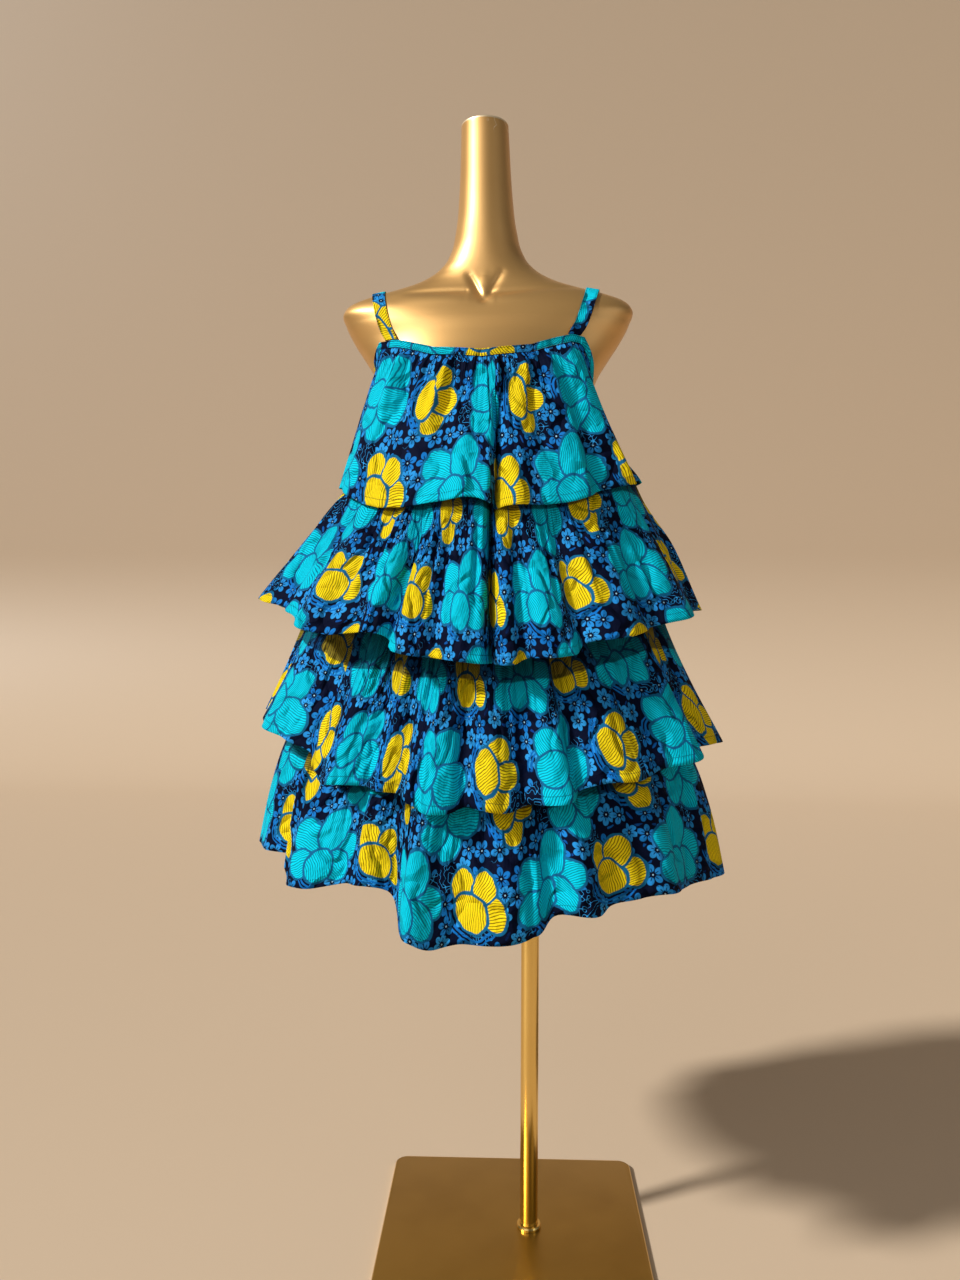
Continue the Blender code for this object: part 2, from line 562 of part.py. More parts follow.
def straps(into, angles, first):
    for name, front_x, top_x, back_x in STRAPS:
        side = 1.0 if top_x > 0 else -1.0
        outer, inner = [], []
        for k in range(STRAP_ACROSS + 1):
            across = (k / STRAP_ACROSS - 0.5) * STRAP_WIDTH
            front = band_point(front_x + across, angles, first, False)
            back = band_point(back_x + across, angles, first, True)
            ends = []
            for y, z in (front, back):
                z += STRAP_END_GAP - SHOULDER_LEVEL
                z += STRAP_WALL * max(0.0, z / math.hypot(y, z))
                ends.append((math.atan2(z, -y), math.hypot(y, z)))
            outer_row, inner_row = [], []
            for i in range(STRAP_STEPS + 1):
                share = i / STRAP_STEPS
                turn = ends[0][0] + (ends[1][0] - ends[0][0]) * share
                middle = math.sin(math.pi * share)
                end_x, low = (front_x, ends[0][0]) if turn < 0.5 * math.pi else (back_x, ends[1][0])
                climb = (math.sin(turn) - math.sin(low)) / (1.0 - math.sin(low))
                x = end_x + (top_x - end_x) * climb + across
                lift = STRAP_LIFT + STRAP_TILT * max(0.0, side * across / STRAP_WIDTH + 0.5) * middle
                rest = shoulder_distance(x, turn) + lift
                near = 1.0 - smooth(min(share, 1.0 - share) / STRAP_BLEND)
                end = ends[0][1] if share < 0.5 else ends[1][1]
                reach = max(rest, rest + (end - STRAP_WALL - rest) * near)
                for row, more in ((inner_row, 0.0), (outer_row, STRAP_WALL)):
                    row.append(
                        (
                            BODY_AT[0] + x,
                            BODY_AT[1] - (reach + more) * math.cos(turn),
                            SHOULDER_LEVEL + (reach + more) * math.sin(turn),
                        )
                    )
            outer.append(outer_row)
            inner.append(inner_row)
        sheet(name, np.array(outer), np.array(inner), into, (TRIM, 0.0, 0.8))


def main():
    for old in list(bpy.data.objects):
        bpy.data.objects.remove(old)
    into = collection()
    base_plate(into)
    top = FORM[0][0] - GAP
    foot = PLATE_THICK + GAP
    lathe(
        "pole",
        [(0.0, foot), (POLE_RADIUS, foot), (POLE_RADIUS, top), (0.0, top)],
        POLE_AT,
        POLE_SIDES,
        into,
        (GOLD, 1.0, 0.2),
    )
    hole = POLE_RADIUS + GAP
    lathe(
        "pole_ring",
        [
            (hole, foot),
            (RING_RADIUS, foot),
            (RING_RADIUS, foot + RING_HEIGHT * 0.6),
            (RING_RADIUS - 0.001, foot + RING_HEIGHT),
            (hole, foot + RING_HEIGHT),
            (hole, foot),
        ],
        POLE_AT,
        POLE_SIDES,
        into,
        (GOLD, 1.0, 0.2),
    )
    form_body(into)
    angles = column_angles(COLUMNS)
    first = cloth(into, angles)
    bands(into, angles, first)
    straps(into, angles, first)


main()
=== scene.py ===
"""Looks of the layered dress on its form.

Four cloth tiers with folds in a printed cotton, their bands and straps, the gold form, the pole and the plate.

Metres, +Z up. The front faces -Y and +X is to the viewer's right.
Angles go round the body axis, in degrees from the front towards +X.
"""

import math

import bmesh
import bpy
import numpy as np
from mathutils import Matrix, Vector


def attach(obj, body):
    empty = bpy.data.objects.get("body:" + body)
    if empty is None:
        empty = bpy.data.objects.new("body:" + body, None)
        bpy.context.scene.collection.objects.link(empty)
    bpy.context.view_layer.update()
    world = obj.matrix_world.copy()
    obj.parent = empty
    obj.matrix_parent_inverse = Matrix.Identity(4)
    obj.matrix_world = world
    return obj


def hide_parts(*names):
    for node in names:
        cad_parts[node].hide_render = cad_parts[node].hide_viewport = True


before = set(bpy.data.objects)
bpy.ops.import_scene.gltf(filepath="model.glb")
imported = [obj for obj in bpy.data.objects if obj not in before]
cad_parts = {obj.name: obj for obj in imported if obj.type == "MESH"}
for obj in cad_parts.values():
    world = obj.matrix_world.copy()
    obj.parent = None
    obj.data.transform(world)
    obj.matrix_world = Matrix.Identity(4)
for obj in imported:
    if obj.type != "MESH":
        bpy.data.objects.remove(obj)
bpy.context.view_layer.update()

# Camera
CAMERA_AT = (0.0458, -1.3392, 0.825)
CAMERA_AZIMUTH = 4.0
CAMERA_ROLL = 0.005
CAMERA_SENSOR = 36.0
CAMERA_LENS = 998.0 / 1280.0 * CAMERA_SENSOR
CAMERA_SHIFT_Y = -22.0 / 1280.0

# Stand
PLATE_SIDE = 0.350
PLATE_THICK = 0.006
PLATE_CORNER = 0.018
PLATE_TURN = 2.2
POLE_AT = (0.0215, 0.007)
POLE_RADIUS = 0.0120
POLE_SIDES = 96
POLE_BEVEL = 0.0006
PLATE_BEVEL = 0.0008

# The body's axis, and the gap between pieces that meet
BODY_AT = (-0.041, 0.008)
GAP = 0.0003

# Form sections: height, half-width, front depth, back depth, offset to the back, offset to the left, squareness
FORM = [
    (0.6650, 0.1150, 0.0750, 0.0800, 0.000, 0.0000, 2.00),
    (0.6680, 0.1380, 0.0920, 0.0980, 0.000, 0.0000, 2.00),
    (0.6800, 0.1510, 0.1030, 0.1100, 0.000, 0.0000, 2.00),
    (0.7200, 0.1570, 0.1080, 0.1180, 0.000, 0.0000, 2.00),
    (0.7800, 0.1560, 0.1080, 0.1170, 0.000, 0.0000, 2.00),
    (0.8500, 0.1380, 0.0980, 0.0980, 0.000, 0.0000, 2.00),
    (0.9300, 0.1160, 0.0870, 0.0820, 0.000, 0.0000, 2.00),
    (1.0000, 0.1210, 0.0960, 0.0840, 0.000, 0.0000, 2.00),
    (1.0600, 0.1310, 0.1080, 0.0900, 0.000, 0.0000, 2.00),
    (1.1100, 0.1390, 0.1120, 0.0960, 0.000, 0.0000, 2.00),
    (1.1450, 0.1480, 0.1020, 0.0980, 0.000, 0.0000, 2.00),
    (1.1700, 0.1630, 0.0850, 0.0950, 0.000, 0.0000, 2.00),
    (1.1950, 0.1790, 0.0730, 0.0880, 0.000, 0.0000, 2.08),
    (1.2180, 0.1905, 0.0650, 0.0780, 0.000, 0.0000, 2.35),
    (1.2360, 0.1945, 0.0560, 0.0660, 0.000, 0.0000, 2.60),
    (1.2480, 0.1830, 0.0500, 0.0560, 0.002, 0.0000, 2.60),
    (1.2570, 0.1590, 0.0465, 0.0500, 0.003, 0.0000, 2.50),
    (1.2650, 0.1320, 0.0440, 0.0470, 0.004, 0.0000, 2.30),
    (1.2740, 0.1040, 0.0425, 0.0450, 0.005, 0.0000, 2.10),
    (1.2850, 0.0800, 0.0420, 0.0440, 0.006, 0.0003, 2.00),
    (1.3000, 0.0605, 0.0420, 0.0430, 0.007, 0.0008, 2.00),
    (1.3200, 0.0485, 0.0420, 0.0420, 0.008, 0.0012, 2.00),
    (1.3500, 0.0412, 0.0405, 0.0405, 0.008, 0.0018, 2.00),
    (1.4000, 0.0360, 0.0365, 0.0365, 0.008, 0.0027, 2.00),
    (1.4500, 0.0335, 0.0335, 0.0335, 0.008, 0.0036, 2.00),
    (1.4900, 0.0322, 0.0322, 0.0322, 0.008, 0.0044, 2.00),
    (1.4945, 0.0321, 0.0321, 0.0321, 0.008, 0.0045, 2.00),
]
FORM_SIDES = 240
# Rows of the form's skin: from, to, how many
FORM_ROWS = [(0.665, 0.690, 14), (0.690, 1.150, 60), (1.150, 1.330, 130)]
NECK_ROWS = 34
# Rounding of the neck's upper edge, and the angles of its rows
NECK_EDGE = 0.0020
NECK_TURNS = (15, 30, 45, 60, 75, 90)
# Soft relief of the form's front, about the body's axis:
# first point across and up, second point across and up, height out, half-width
RELIEF = [
    (-0.104, 1.2530, -0.026, 1.2535, -0.0040, 0.0042), (-0.100, 1.2440, -0.024, 1.2440, 0.0030, 0.0085),
    (0.010, 1.2500, 0.122, 1.2610, -0.0040, 0.0042), (0.014, 1.2410, 0.110, 1.2500, 0.0030, 0.0085),
    (-0.0222, 1.2770, -0.0030, 1.2400, -0.0040, 0.0050), (0.0225, 1.2810, 0.0012, 1.2400, -0.0032, 0.0052),
    (0.0000, 1.2760, -0.0008, 1.2620, 0.0012, 0.0070),
]

# Tiers: share of the way down, share of the way out
PROFILES = [
    [(0.0, 0.0), (0.30, 0.38), (0.60, 0.66), (1.0, 1.0)],
    [(0.0, 0.0), (0.25, 0.13), (0.60, 0.52), (1.0, 1.0)],
    [(0.0, 0.0), (0.50, 0.27), (0.75, 0.60), (1.0, 1.0)],
    [(0.0, 0.0), (0.40, 0.18), (0.56, 0.38), (0.68, 0.62), (0.79, 0.78), (1.0, 1.0)],
]
# Tier sections at the top and at the hem: left, right, front, back half-widths
TOPS = [
    (0.1535, 0.1520, 0.0930, 0.0990),
    (0.1800, 0.1900, 0.1530, 0.1450),
    (0.2120, 0.2120, 0.1580, 0.1550),
    (0.2330, 0.2400, 0.1820, 0.1780),
]
HEMS = [
    (0.1990, 0.2090, 0.1750, 0.1650),
    (0.2960, 0.2850, 0.2350, 0.2200),
    (0.2980, 0.3090, 0.2620, 0.2450),
    (0.2950, 0.3090, 0.2750, 0.2600),
]
WALL = 0.0012

# Top edge of the bands, all round: angle, height
EDGE = [
    (-172, 1.163), (-150, 1.168), (-135, 1.172), (-123, 1.174), (-113, 1.146), (-104, 1.128), (-95, 1.122),
    (-86, 1.126), (-78, 1.150), (-70, 1.186), (-61, 1.186), (-35, 1.169), (0, 1.1625), (35, 1.171), (61, 1.190),
    (67, 1.188), (75, 1.148), (82, 1.112), (90, 1.098), (97, 1.100), (105, 1.112), (114, 1.142), (123, 1.174),
    (135, 1.172), (150, 1.168),
]
# Seams of the three lower tiers: share of the way down the tier above
SEAMS = (0.72, 0.32, 0.32)
# Hems: angle, height
HEM_LINES = [
    [
        (-180, 0.972), (-150, 0.980), (-120, 0.992), (-95, 1.001), (-73, 0.996), (-56, 0.974), (-51, 0.966),
        (-40, 0.9585), (-29, 0.958), (-20, 0.962), (-10, 0.965), (-4, 0.968), (0, 0.9675), (6, 0.960),
        (8, 0.9536), (10, 0.957), (15, 0.959), (27, 0.960), (37, 0.9646), (46, 0.975), (62, 0.991), (84, 1.007),
        (100, 1.004), (125, 0.990), (150, 0.978),
    ],
    [
        (-180, 0.806), (-160, 0.812), (-135, 0.806), (-115, 0.826), (-98, 0.842), (-79, 0.852), (-57, 0.828),
        (-50, 0.812), (-43, 0.804), (-39, 0.806), (-32, 0.809), (-27, 0.807), (-25.5, 0.800), (-24, 0.790),
        (-20, 0.785), (-16, 0.7815), (-5, 0.777), (1, 0.774), (9, 0.772), (13, 0.774), (14.5, 0.780),
        (22, 0.781), (30, 0.784), (34, 0.798), (45, 0.806), (56, 0.816), (77, 0.838), (95, 0.836), (118, 0.822),
        (140, 0.804), (160, 0.810),
    ],
    [
        (-180, 0.640), (-160, 0.648), (-135, 0.646), (-115, 0.674), (-98, 0.698), (-77, 0.703), (-55, 0.679),
        (-49, 0.668), (-38, 0.634), (-33, 0.636), (-26, 0.632), (-18, 0.628), (-15, 0.620), (-11, 0.611),
        (-4, 0.610), (-1.5, 0.618), (10, 0.612), (13, 0.618), (25, 0.623), (27, 0.630), (33, 0.642),
        (42, 0.642), (49, 0.649), (61, 0.657), (64, 0.667), (76, 0.669), (95, 0.664), (118, 0.648), (140, 0.652),
        (160, 0.642),
    ],
    [
        (-180, 0.492), (-160, 0.500), (-135, 0.490), (-115, 0.502), (-95, 0.523), (-76, 0.532), (-58, 0.534),
        (-52.5, 0.528), (-50, 0.510), (-42, 0.511), (-33, 0.522), (-25, 0.527), (-21, 0.523), (-18.5, 0.515),
        (-17, 0.496), (-15, 0.479), (-12.6, 0.476), (-9, 0.4645), (-2, 0.470), (7, 0.474), (12, 0.476),
        (17.5, 0.482), (20, 0.496), (24, 0.502), (31, 0.498), (36, 0.506), (46, 0.513), (60, 0.508), (76, 0.505),
        (95, 0.500), (118, 0.490), (140, 0.496), (160, 0.488),
    ],
]
# Folds of the front: angle at the top and at the hem, height out, reach to the left and to the right in degrees,
# and the shares of the way down where the fold starts, is full and is gone, or 9 where it runs on past the hem
FOLDS = [
    [
        (-72, -78, -0.007, 9, 9, 0.30, 1.0, 9), (-58, -62, 0.006, 9, 10, 0.10, 0.9, 9),
        (-46, -49, -0.009, 5, 6, 0.00, 0.2, 0.8), (-36, -40, 0.006, 8, 9, 0.10, 0.8, 9),
        (-18, -22, -0.009, 5, 6, 0.00, 0.2, 0.9), (-6, -6, 0.007, 7, 8, 0.20, 0.9, 9),
        (11, 7.5, -0.014, 4, 4, 0.00, 0.3, 9), (19, 16, 0.006, 6, 8, 0.20, 0.8, 9),
        (28, 31, -0.006, 5, 6, 0.00, 0.3, 0.9), (38, 40, 0.006, 8, 8, 0.20, 0.9, 9),
        (50, 52, -0.008, 6, 7, 0.00, 0.4, 9), (62, 66, 0.006, 8, 9, 0.30, 1.0, 9), (74, 80, -0.006, 8, 9, 0.30, 1.0, 9),
        (88, 88, -0.008, 36, 36, 0.00, 0.35, 1.0),
    ],
    [
        (-74, -76, 0.008, 8, 8, 0.20, 1.0, 9), (-64, -66, -0.012, 7, 7, 0.10, 1.0, 9),
        (-50, -50, 0.012, 6, 9, 0.20, 0.9, 9), (-37, -36, -0.013, 6, 6, 0.05, 0.8, 9),
        (-29, -29, 0.006, 4, 4, 0.20, 0.9, 9), (-22, -25.5, -0.014, 5, 2, 0.05, 0.7, 9),
        (-18, -21, 0.010, 3, 8, 0.20, 0.8, 9), (-10, -12, -0.010, 4, 4, 0.05, 0.7, 9),
        (-4, -5, 0.007, 4, 5, 0.20, 0.9, 9), (6, 5.5, -0.018, 3.5, 3.5, 0.00, 0.4, 9),
        (9, 9.5, 0.012, 3, 5, 0.20, 0.8, 9), (15, 14.5, -0.008, 3, 4, 0.00, 0.5, 9),
        (22, 22, 0.008, 6, 7, 0.30, 1.0, 9), (30, 33, -0.014, 5, 6, 0.05, 0.8, 9),
        (43, 43, 0.009, 7, 8, 0.20, 0.9, 9), (54, 55, -0.010, 6, 7, 0.10, 0.9, 9),
        (65, 66, 0.008, 7, 7, 0.20, 1.0, 9), (77, 79, -0.009, 8, 8, 0.20, 1.0, 9),
        (88, 88, 0.005, 30, 30, 0.00, 0.50, 1.1),
    ],
    [
        (-76, -78, -0.010, 8, 8, 0.20, 1.0, 9), (-62, -62, 0.010, 7, 8, 0.20, 1.0, 9),
        (-52, -48, -0.014, 7, 5, 0.10, 0.9, 9), (-40, -36, 0.011, 5, 8, 0.20, 0.9, 9),
        (-30, -28, -0.010, 5, 5, 0.05, 0.7, 9), (-21, -19, -0.012, 5, 4, 0.05, 0.6, 9),
        (-12, -9, 0.014, 5, 6, 0.10, 0.8, 9), (-3, -1.5, -0.014, 4, 4, 0.05, 0.7, 9),
        (5, 6, 0.011, 6, 7, 0.20, 0.9, 9), (16, 15, -0.012, 5, 4, 0.05, 0.7, 9),
        (23, 22, 0.010, 6, 5, 0.20, 0.9, 9), (29, 28.5, -0.015, 4, 5, 0.05, 0.6, 9),
        (40, 40, 0.009, 7, 8, 0.20, 0.9, 9), (51, 51, -0.009, 6, 6, 0.10, 0.9, 9),
        (61, 61, 0.012, 8, 4, 0.20, 1.0, 9), (68, 68, -0.013, 5, 7, 0.20, 1.0, 9), (79, 80, 0.006, 7, 8, 0.20, 1.0, 9),
    ],
    [
        (-80, -80, 0.006, 8, 8, 0.30, 1.0, 9), (-60, -58, -0.018, 9, 7, 0.30, 1.0, 9),
        (-50, -48, 0.010, 4, 9, 0.30, 1.0, 9), (-36, -34, -0.014, 8, 8, 0.20, 0.9, 9),
        (-22, -19, -0.016, 7, 4, 0.30, 1.0, 9), (-13, -13, 0.016, 4, 8, 0.30, 0.9, 9),
        (-3, -2, -0.008, 6, 6, 0.20, 0.9, 9), (9, 9, 0.010, 8, 8, 0.30, 1.0, 9),
        (20, 20.5, -0.015, 5, 5, 0.10, 0.8, 9), (29, 27, 0.010, 5, 5, 0.30, 1.0, 9),
        (36, 35, -0.012, 5, 7, 0.20, 0.9, 9), (49, 49, 0.009, 9, 9, 0.30, 1.0, 9),
        (62, 62, -0.009, 7, 8, 0.20, 0.9, 9), (76, 76, 0.009, 8, 9, 0.30, 1.0, 9),
    ],
]
# Even gathers of each tier: waves all round, height at the seam, height at the hem
GATHERS = [(18, 0.0008, 0.0012), (18, 0.0015, 0.0018), (18, 0.0015, 0.0020), (18, 0.0015, 0.0016)]
# How uneven the gathers are: waves all round, how far they push a gather
GATHER_DRIFT = [(3.0, 1.7), (7.0, 0.9)]
# Share of a fold's height that it already has at the top edge
PLEAT_TOP = 0.30
# Folds of the back: how far they are turned, and how high they are beside those of the front
BACK_TURN = 5.0
BACK_SHARE = 0.85
# Small creases of the front, in the same columns as the folds
CREASES = [
    [
        (-66, -69, -0.0030, 3, 3, 0.02, 0.12, 0.45), (-52, -55, 0.0026, 2.5, 3, 0.02, 0.10, 0.40),
        (-41, -43, -0.0034, 2, 2.5, 0.00, 0.10, 0.55), (-31, -31, -0.0030, 2, 2, 0.00, 0.12, 0.42),
        (-25, -27, 0.0026, 2, 3, 0.00, 0.10, 0.50), (-13, -15, -0.0036, 2, 2, 0.00, 0.14, 0.60),
        (-2, -1, -0.0030, 2, 2, 0.00, 0.10, 0.38), (4, 3, 0.0030, 2, 2.5, 0.00, 0.12, 0.55),
        (17, 18, -0.0032, 2, 2, 0.00, 0.10, 0.48), (24, 25, -0.0036, 2, 2, 0.00, 0.14, 0.62),
        (33, 35, 0.0028, 2, 2.5, 0.00, 0.10, 0.44), (44, 46, -0.0034, 2, 2, 0.00, 0.14, 0.58),
        (57, 59, -0.0028, 2, 3, 0.02, 0.12, 0.42), (69, 72, 0.0026, 3, 3, 0.02, 0.12, 0.46),
        (-34, -38, -0.0030, 3, 4, 0.45, 0.85, 9), (45, 44, 0.0030, 3, 4, 0.50, 0.90, 9),
        (11.4, 7.8, -0.0110, 1.3, 1.5, 0.00, 0.20, 9),
        (56, 66, 0.0040, 3.0, 2.0, 0.45, 0.85, 9), (63, 74, -0.0036, 2.0, 2.5, 0.40, 0.80, 9),
    ],
    [
        (-82, -84, -0.0040, 2.5, 2.5, 0.30, 0.60, 1.3), (-69, -71, 0.0036, 2, 3, 0.20, 0.45, 1.2),
        (-57, -58, -0.0046, 2, 2, 0.22, 0.45, 1.1), (-44, -43, -0.0044, 2, 2, 0.20, 0.42, 0.9),
        (-33, -33, 0.0034, 1.6, 2, 0.24, 0.50, 1.2), (-14, -16, -0.0040, 1.6, 1.6, 0.20, 0.46, 1.0),
        (6, 5.4, -0.0100, 1.4, 1.4, 0.10, 0.40, 9), (0, 0, -0.0046, 1.8, 1.8, 0.20, 0.45, 0.95),
        (18, 18, -0.0042, 1.8, 1.8, 0.22, 0.50, 1.1),
        (26, 27, -0.0046, 2, 2, 0.20, 0.42, 0.9), (37, 38, 0.0036, 2, 2, 0.24, 0.50, 1.3),
        (48, 49, -0.0044, 2, 2, 0.22, 0.46, 1.0), (60, 61, -0.0040, 2, 2.5, 0.24, 0.50, 1.2),
        (71, 72, -0.0044, 2, 2, 0.24, 0.50, 1.1), (84, 86, 0.0036, 2.5, 3, 0.26, 0.55, 1.2),
    ],
    [
        (-84, -86, 0.0036, 2.5, 2.5, 0.25, 0.50, 1.1), (-70, -71, -0.0044, 2, 2, 0.24, 0.46, 1.0),
        (-57, -55, -0.0048, 2, 2, 0.22, 0.44, 0.9), (-46, -43, 0.0040, 2, 2, 0.20, 0.42, 1.0),
        (-35, -32, -0.0046, 1.8, 1.8, 0.22, 0.44, 1.0), (-25, -23, 0.0040, 1.8, 1.8, 0.24, 0.45, 0.9),
        (-16, -14, -0.0040, 1.6, 1.6, 0.24, 0.46, 0.85), (1, 2, -0.0040, 1.6, 1.6, 0.22, 0.44, 0.9),
        (10, 11, -0.0050, 1.8, 1.8, 0.22, 0.42, 1.0), (19, 18, 0.0034, 1.6, 1.6, 0.22, 0.44, 0.9),
        (34, 34, -0.0048, 1.8, 2, 0.22, 0.42, 0.95), (45, 45, -0.0044, 2, 2, 0.24, 0.46, 1.1),
        (56, 56, 0.0038, 2, 2, 0.24, 0.48, 1.0), (73, 74, -0.0044, 2, 2, 0.24, 0.46, 1.0),
        (86, 87, -0.0040, 2.5, 2.5, 0.26, 0.50, 1.1),
    ],
    [
        (-86, -87, -0.0044, 2.5, 2.5, 0.30, 0.60, 1.2), (-70, -70, -0.0050, 2.5, 2.5, 0.30, 0.55, 1.1),
        (-54, -53, 0.0040, 2, 2.5, 0.30, 0.60, 1.2), (-43, -41, -0.0044, 2.2, 2.2, 0.30, 0.55, 1.0),
        (-29, -27, 0.0040, 2, 2, 0.30, 0.56, 1.1), (-8, -8, -0.0046, 2, 2, 0.32, 0.56, 1.0),
        (3, 4, -0.0050, 2, 2, 0.30, 0.54, 1.0), (14, 15, -0.0044, 2, 2, 0.30, 0.56, 1.2),
        (25, 24, -0.0040, 1.8, 1.8, 0.30, 0.55, 0.95), (42, 43, -0.0050, 2.2, 2.2, 0.30, 0.56, 1.1),
        (55, 55, -0.0040, 2, 2, 0.30, 0.60, 1.1), (69, 69, 0.0040, 2.5, 2.5, 0.30, 0.60, 1.2),
        (84, 85, -0.0046, 2.5, 2.5, 0.30, 0.60, 1.1),
    ],
]
# Pressed pleats of the first tier, under the top edge, in the same columns as the folds
PLEATS = [
    (-66, -68, 0.0060, 5.5, 2.2, 0.00, 0.07, 0.45), (-52.5, -54, 0.0104, 6.5, 2.0, 0.00, 0.07, 0.62),
    (-37, -41, 0.0054, 4.5, 1.8, 0.00, 0.08, 0.36), (-19.3, -34, 0.0110, 7.5, 2.1, 0.00, 0.07, 0.66),
    (-5, -7, 0.0046, 4.5, 1.7, 0.00, 0.09, 0.32), (11.0, 7.6, 0.0098, 6.5, 2.2, 0.00, 0.07, 1.25),
    (29.7, 15.6, 0.0086, 6.0, 2.0, 0.00, 0.07, 0.56), (44, 45, 0.0070, 5.5, 2.0, 0.00, 0.08, 0.50),
    (58, 61, 0.0054, 5.0, 2.2, 0.00, 0.08, 0.42),
]
# How many times as deep the small creases of each tier are made
CREASE_DEPTH = (1.0, 1.6, 1.6, 1.6)

# Room under the tier above: at the seam, more below it, and the drop over which it grows
LAYER_GAP = 0.0005
LAYER_ROOM = 0.0080
ROOM_RAMP = 0.040
# How softly a tier gives way to the one above, over which share it leaves the seam, and how fast it spreads below a hem
LAYER_SOFT = 0.0030
SEAM_BLEND = 0.16
HEM_RELEASE = 1.2
# Room between the form and a tier or a band, and how softly a tier gives way to the form
FORM_ROOM = 0.0037
BAND_ROOM = 0.0042
FORM_SOFT = 0.0009
# The most that a slanted wall is widened, and how far a hem's corners are eased, in degrees
MOST_SLANT = 1.8
HEM_EASE = 1.5

# Fine cloth grid, and how far its rows crowd at the seam and at the hem
COLUMNS = 800
ROWS = 44
ROW_CROWDING = 0.035
# Stitches: distance from a hem, and from the edge of a band or strap
HEM_FOLD = 0.0100
STRIP_STITCH = 0.0016
# Points closer than this are one, and edges sharper than this many degrees stay sharp
MERGE_WITHIN = 0.00002
SHARP_ANGLE = 50.0

# Bands: height, thickness, how far they stand out past the first tier, degrees between their points
BAND_HEIGHT = 0.0095
BAND_WALL = 0.0018
BAND_OUT = 0.0004
BAND_STEP = 1.0
# Where the top edge runs steeply the band is measured up to this much longer, over this many degrees
MOST_EDGE_SLANT = 1.6
SLANT_STEP = 2.0
# Each band: name, first angle, last angle
BANDS = [
    ("neckline_band_front", -69.0, 66.0),
    ("armhole_band_right", 66.0, 124.0),
    ("neckline_band_back", 124.0, 236.0),
    ("armhole_band_left", 236.0, 291.0),
]

# Straps: name, and distance across at the front, at the top and at the back
STRAPS = [("strap_left", -0.1215, -0.1450, -0.0920), ("strap_right", 0.1165, 0.1425, 0.0920)]
STRAP_WIDTH = 0.0175
STRAP_WALL = 0.0018
STRAP_STEPS = 90
# How far a strap lies off the form, how far its outer edge is lifted more, over which share it comes down to the band,
# and its gap to the band
STRAP_LIFT = 0.0007
STRAP_TILT = 0.0016
STRAP_BLEND = 0.30
STRAP_END_GAP = 0.0010
# A strap is measured from a line inside the shoulder: the line's height, and how far out and in how many halvings
# the form's surface is searched
SHOULDER_LEVEL = 1.170
SHOULDER_REACH = 0.14
HALVINGS = 30
# Angles at the front and at the back where a strap may meet the band, and how many are tried
FRONT_SEARCH = (5.0, 80.0)
BACK_SEARCH = (100.0, 175.0)
SEARCHED = 601

# Cross-section of a strip: shares across its face and back across its lining, and how far its corners are drawn in
STRIP_FACE = (0.0, 0.12, 0.3, 0.5, 0.7, 0.88, 1.0)
STRIP_LINING = (1.0, 0.88, 0.5, 0.12, 0.0)
CORNER_DRAW = 0.05
# Where each strip's start lies on the flat print: along, up
STRIP_CUTS = {
    "neckline_band_front": (-0.165, 0.006),
    "armhole_band_right": (0.070, 0.010),
    "neckline_band_back": (0.030, 0.004),
    "armhole_band_left": (0.080, -0.006),
    "strap_left": (-0.024, -0.004),
    "strap_right": (0.040, 0.026),
}

# Where the print lies on each tier: distance round the tier from the front, and distance along the flat print
PRINT_ROUND = [
    [(-0.137, 0.000), (-0.027, 0.104), (0.067, 0.208), (0.150, 0.302), (0.234, 0.368), (0.286, 0.416)],
    [
        (-0.243, -0.416), (-0.156, -0.312), (-0.086, -0.208), (-0.015, -0.104), (0.064, 0.0), (0.158, 0.104),
        (0.225, 0.208), (0.343, 0.312),
    ],
    [
        (-0.246, -0.416), (-0.199, -0.345), (-0.117, -0.208), (-0.054, -0.104), (0.037, 0.0), (0.140, 0.104),
        (0.227, 0.208), (0.338, 0.312), (0.426, 0.416),
    ],
    [
        (-0.246, -0.312), (-0.153, -0.208), (-0.079, -0.104), (0.011, 0.0), (0.108, 0.104), (0.212, 0.208),
        (0.323, 0.312),
    ],
]
# Distance down the tier of a row of blooms, and that row's place in the repeat: up, along
PRINT_DOWN = [(0.158, 0.0, 0.0), (0.164, 0.0, 0.0), (0.288, -0.100, 0.052), (0.330, 0.0, 0.0)]
# Distance down each tier where the band or the tier above stops hiding it
SHOWN_FROM = (0.0, 0.060, 0.190, 0.235)


def smooth(share):
    """0 up to 0, 1 from 1, and a soft change between them."""
    share = np.clip(share, 0.0, 1.0)
    return share * share * (3.0 - 2.0 * share)


def curve(rows, at):
    """A smooth curve through short table rows, for the values at."""
    rows = np.array(rows, float)
    x = rows[:, 0]
    slope = np.gradient(rows[:, 1:], x, axis=0)
    at = np.clip(np.asarray(at, float), x[0], x[-1])
    i = np.clip(np.searchsorted(x, at, side="right") - 1, 0, len(x) - 2)
    step = (x[i + 1] - x[i])[..., None]
    t = (at - x[i])[..., None] / step
    y0, y1 = rows[i, 1:], rows[i + 1, 1:]
    m0, m1 = slope[i] * step, slope[i + 1] * step
    return (
        y0 * (1 + 2 * t) * (1 - t) ** 2
        + m0 * t * (1 - t) ** 2
        + y1 * t * t * (3 - 2 * t)
        - m1 * t * t * (1 - t)
    )


def round_line(rows, angles):
    """Heights all round from rows of angle and height."""
    at, height = zip(*rows)
    return np.interp(np.asarray(angles), at, height, period=360.0)


def soft_line(rows, angles):
    """The same, with its corners eased."""
    return sum(round_line(rows, np.asarray(angles) + HEM_EASE * k) for k in (-1, -0.5, 0, 0.5, 1)) / 5.0


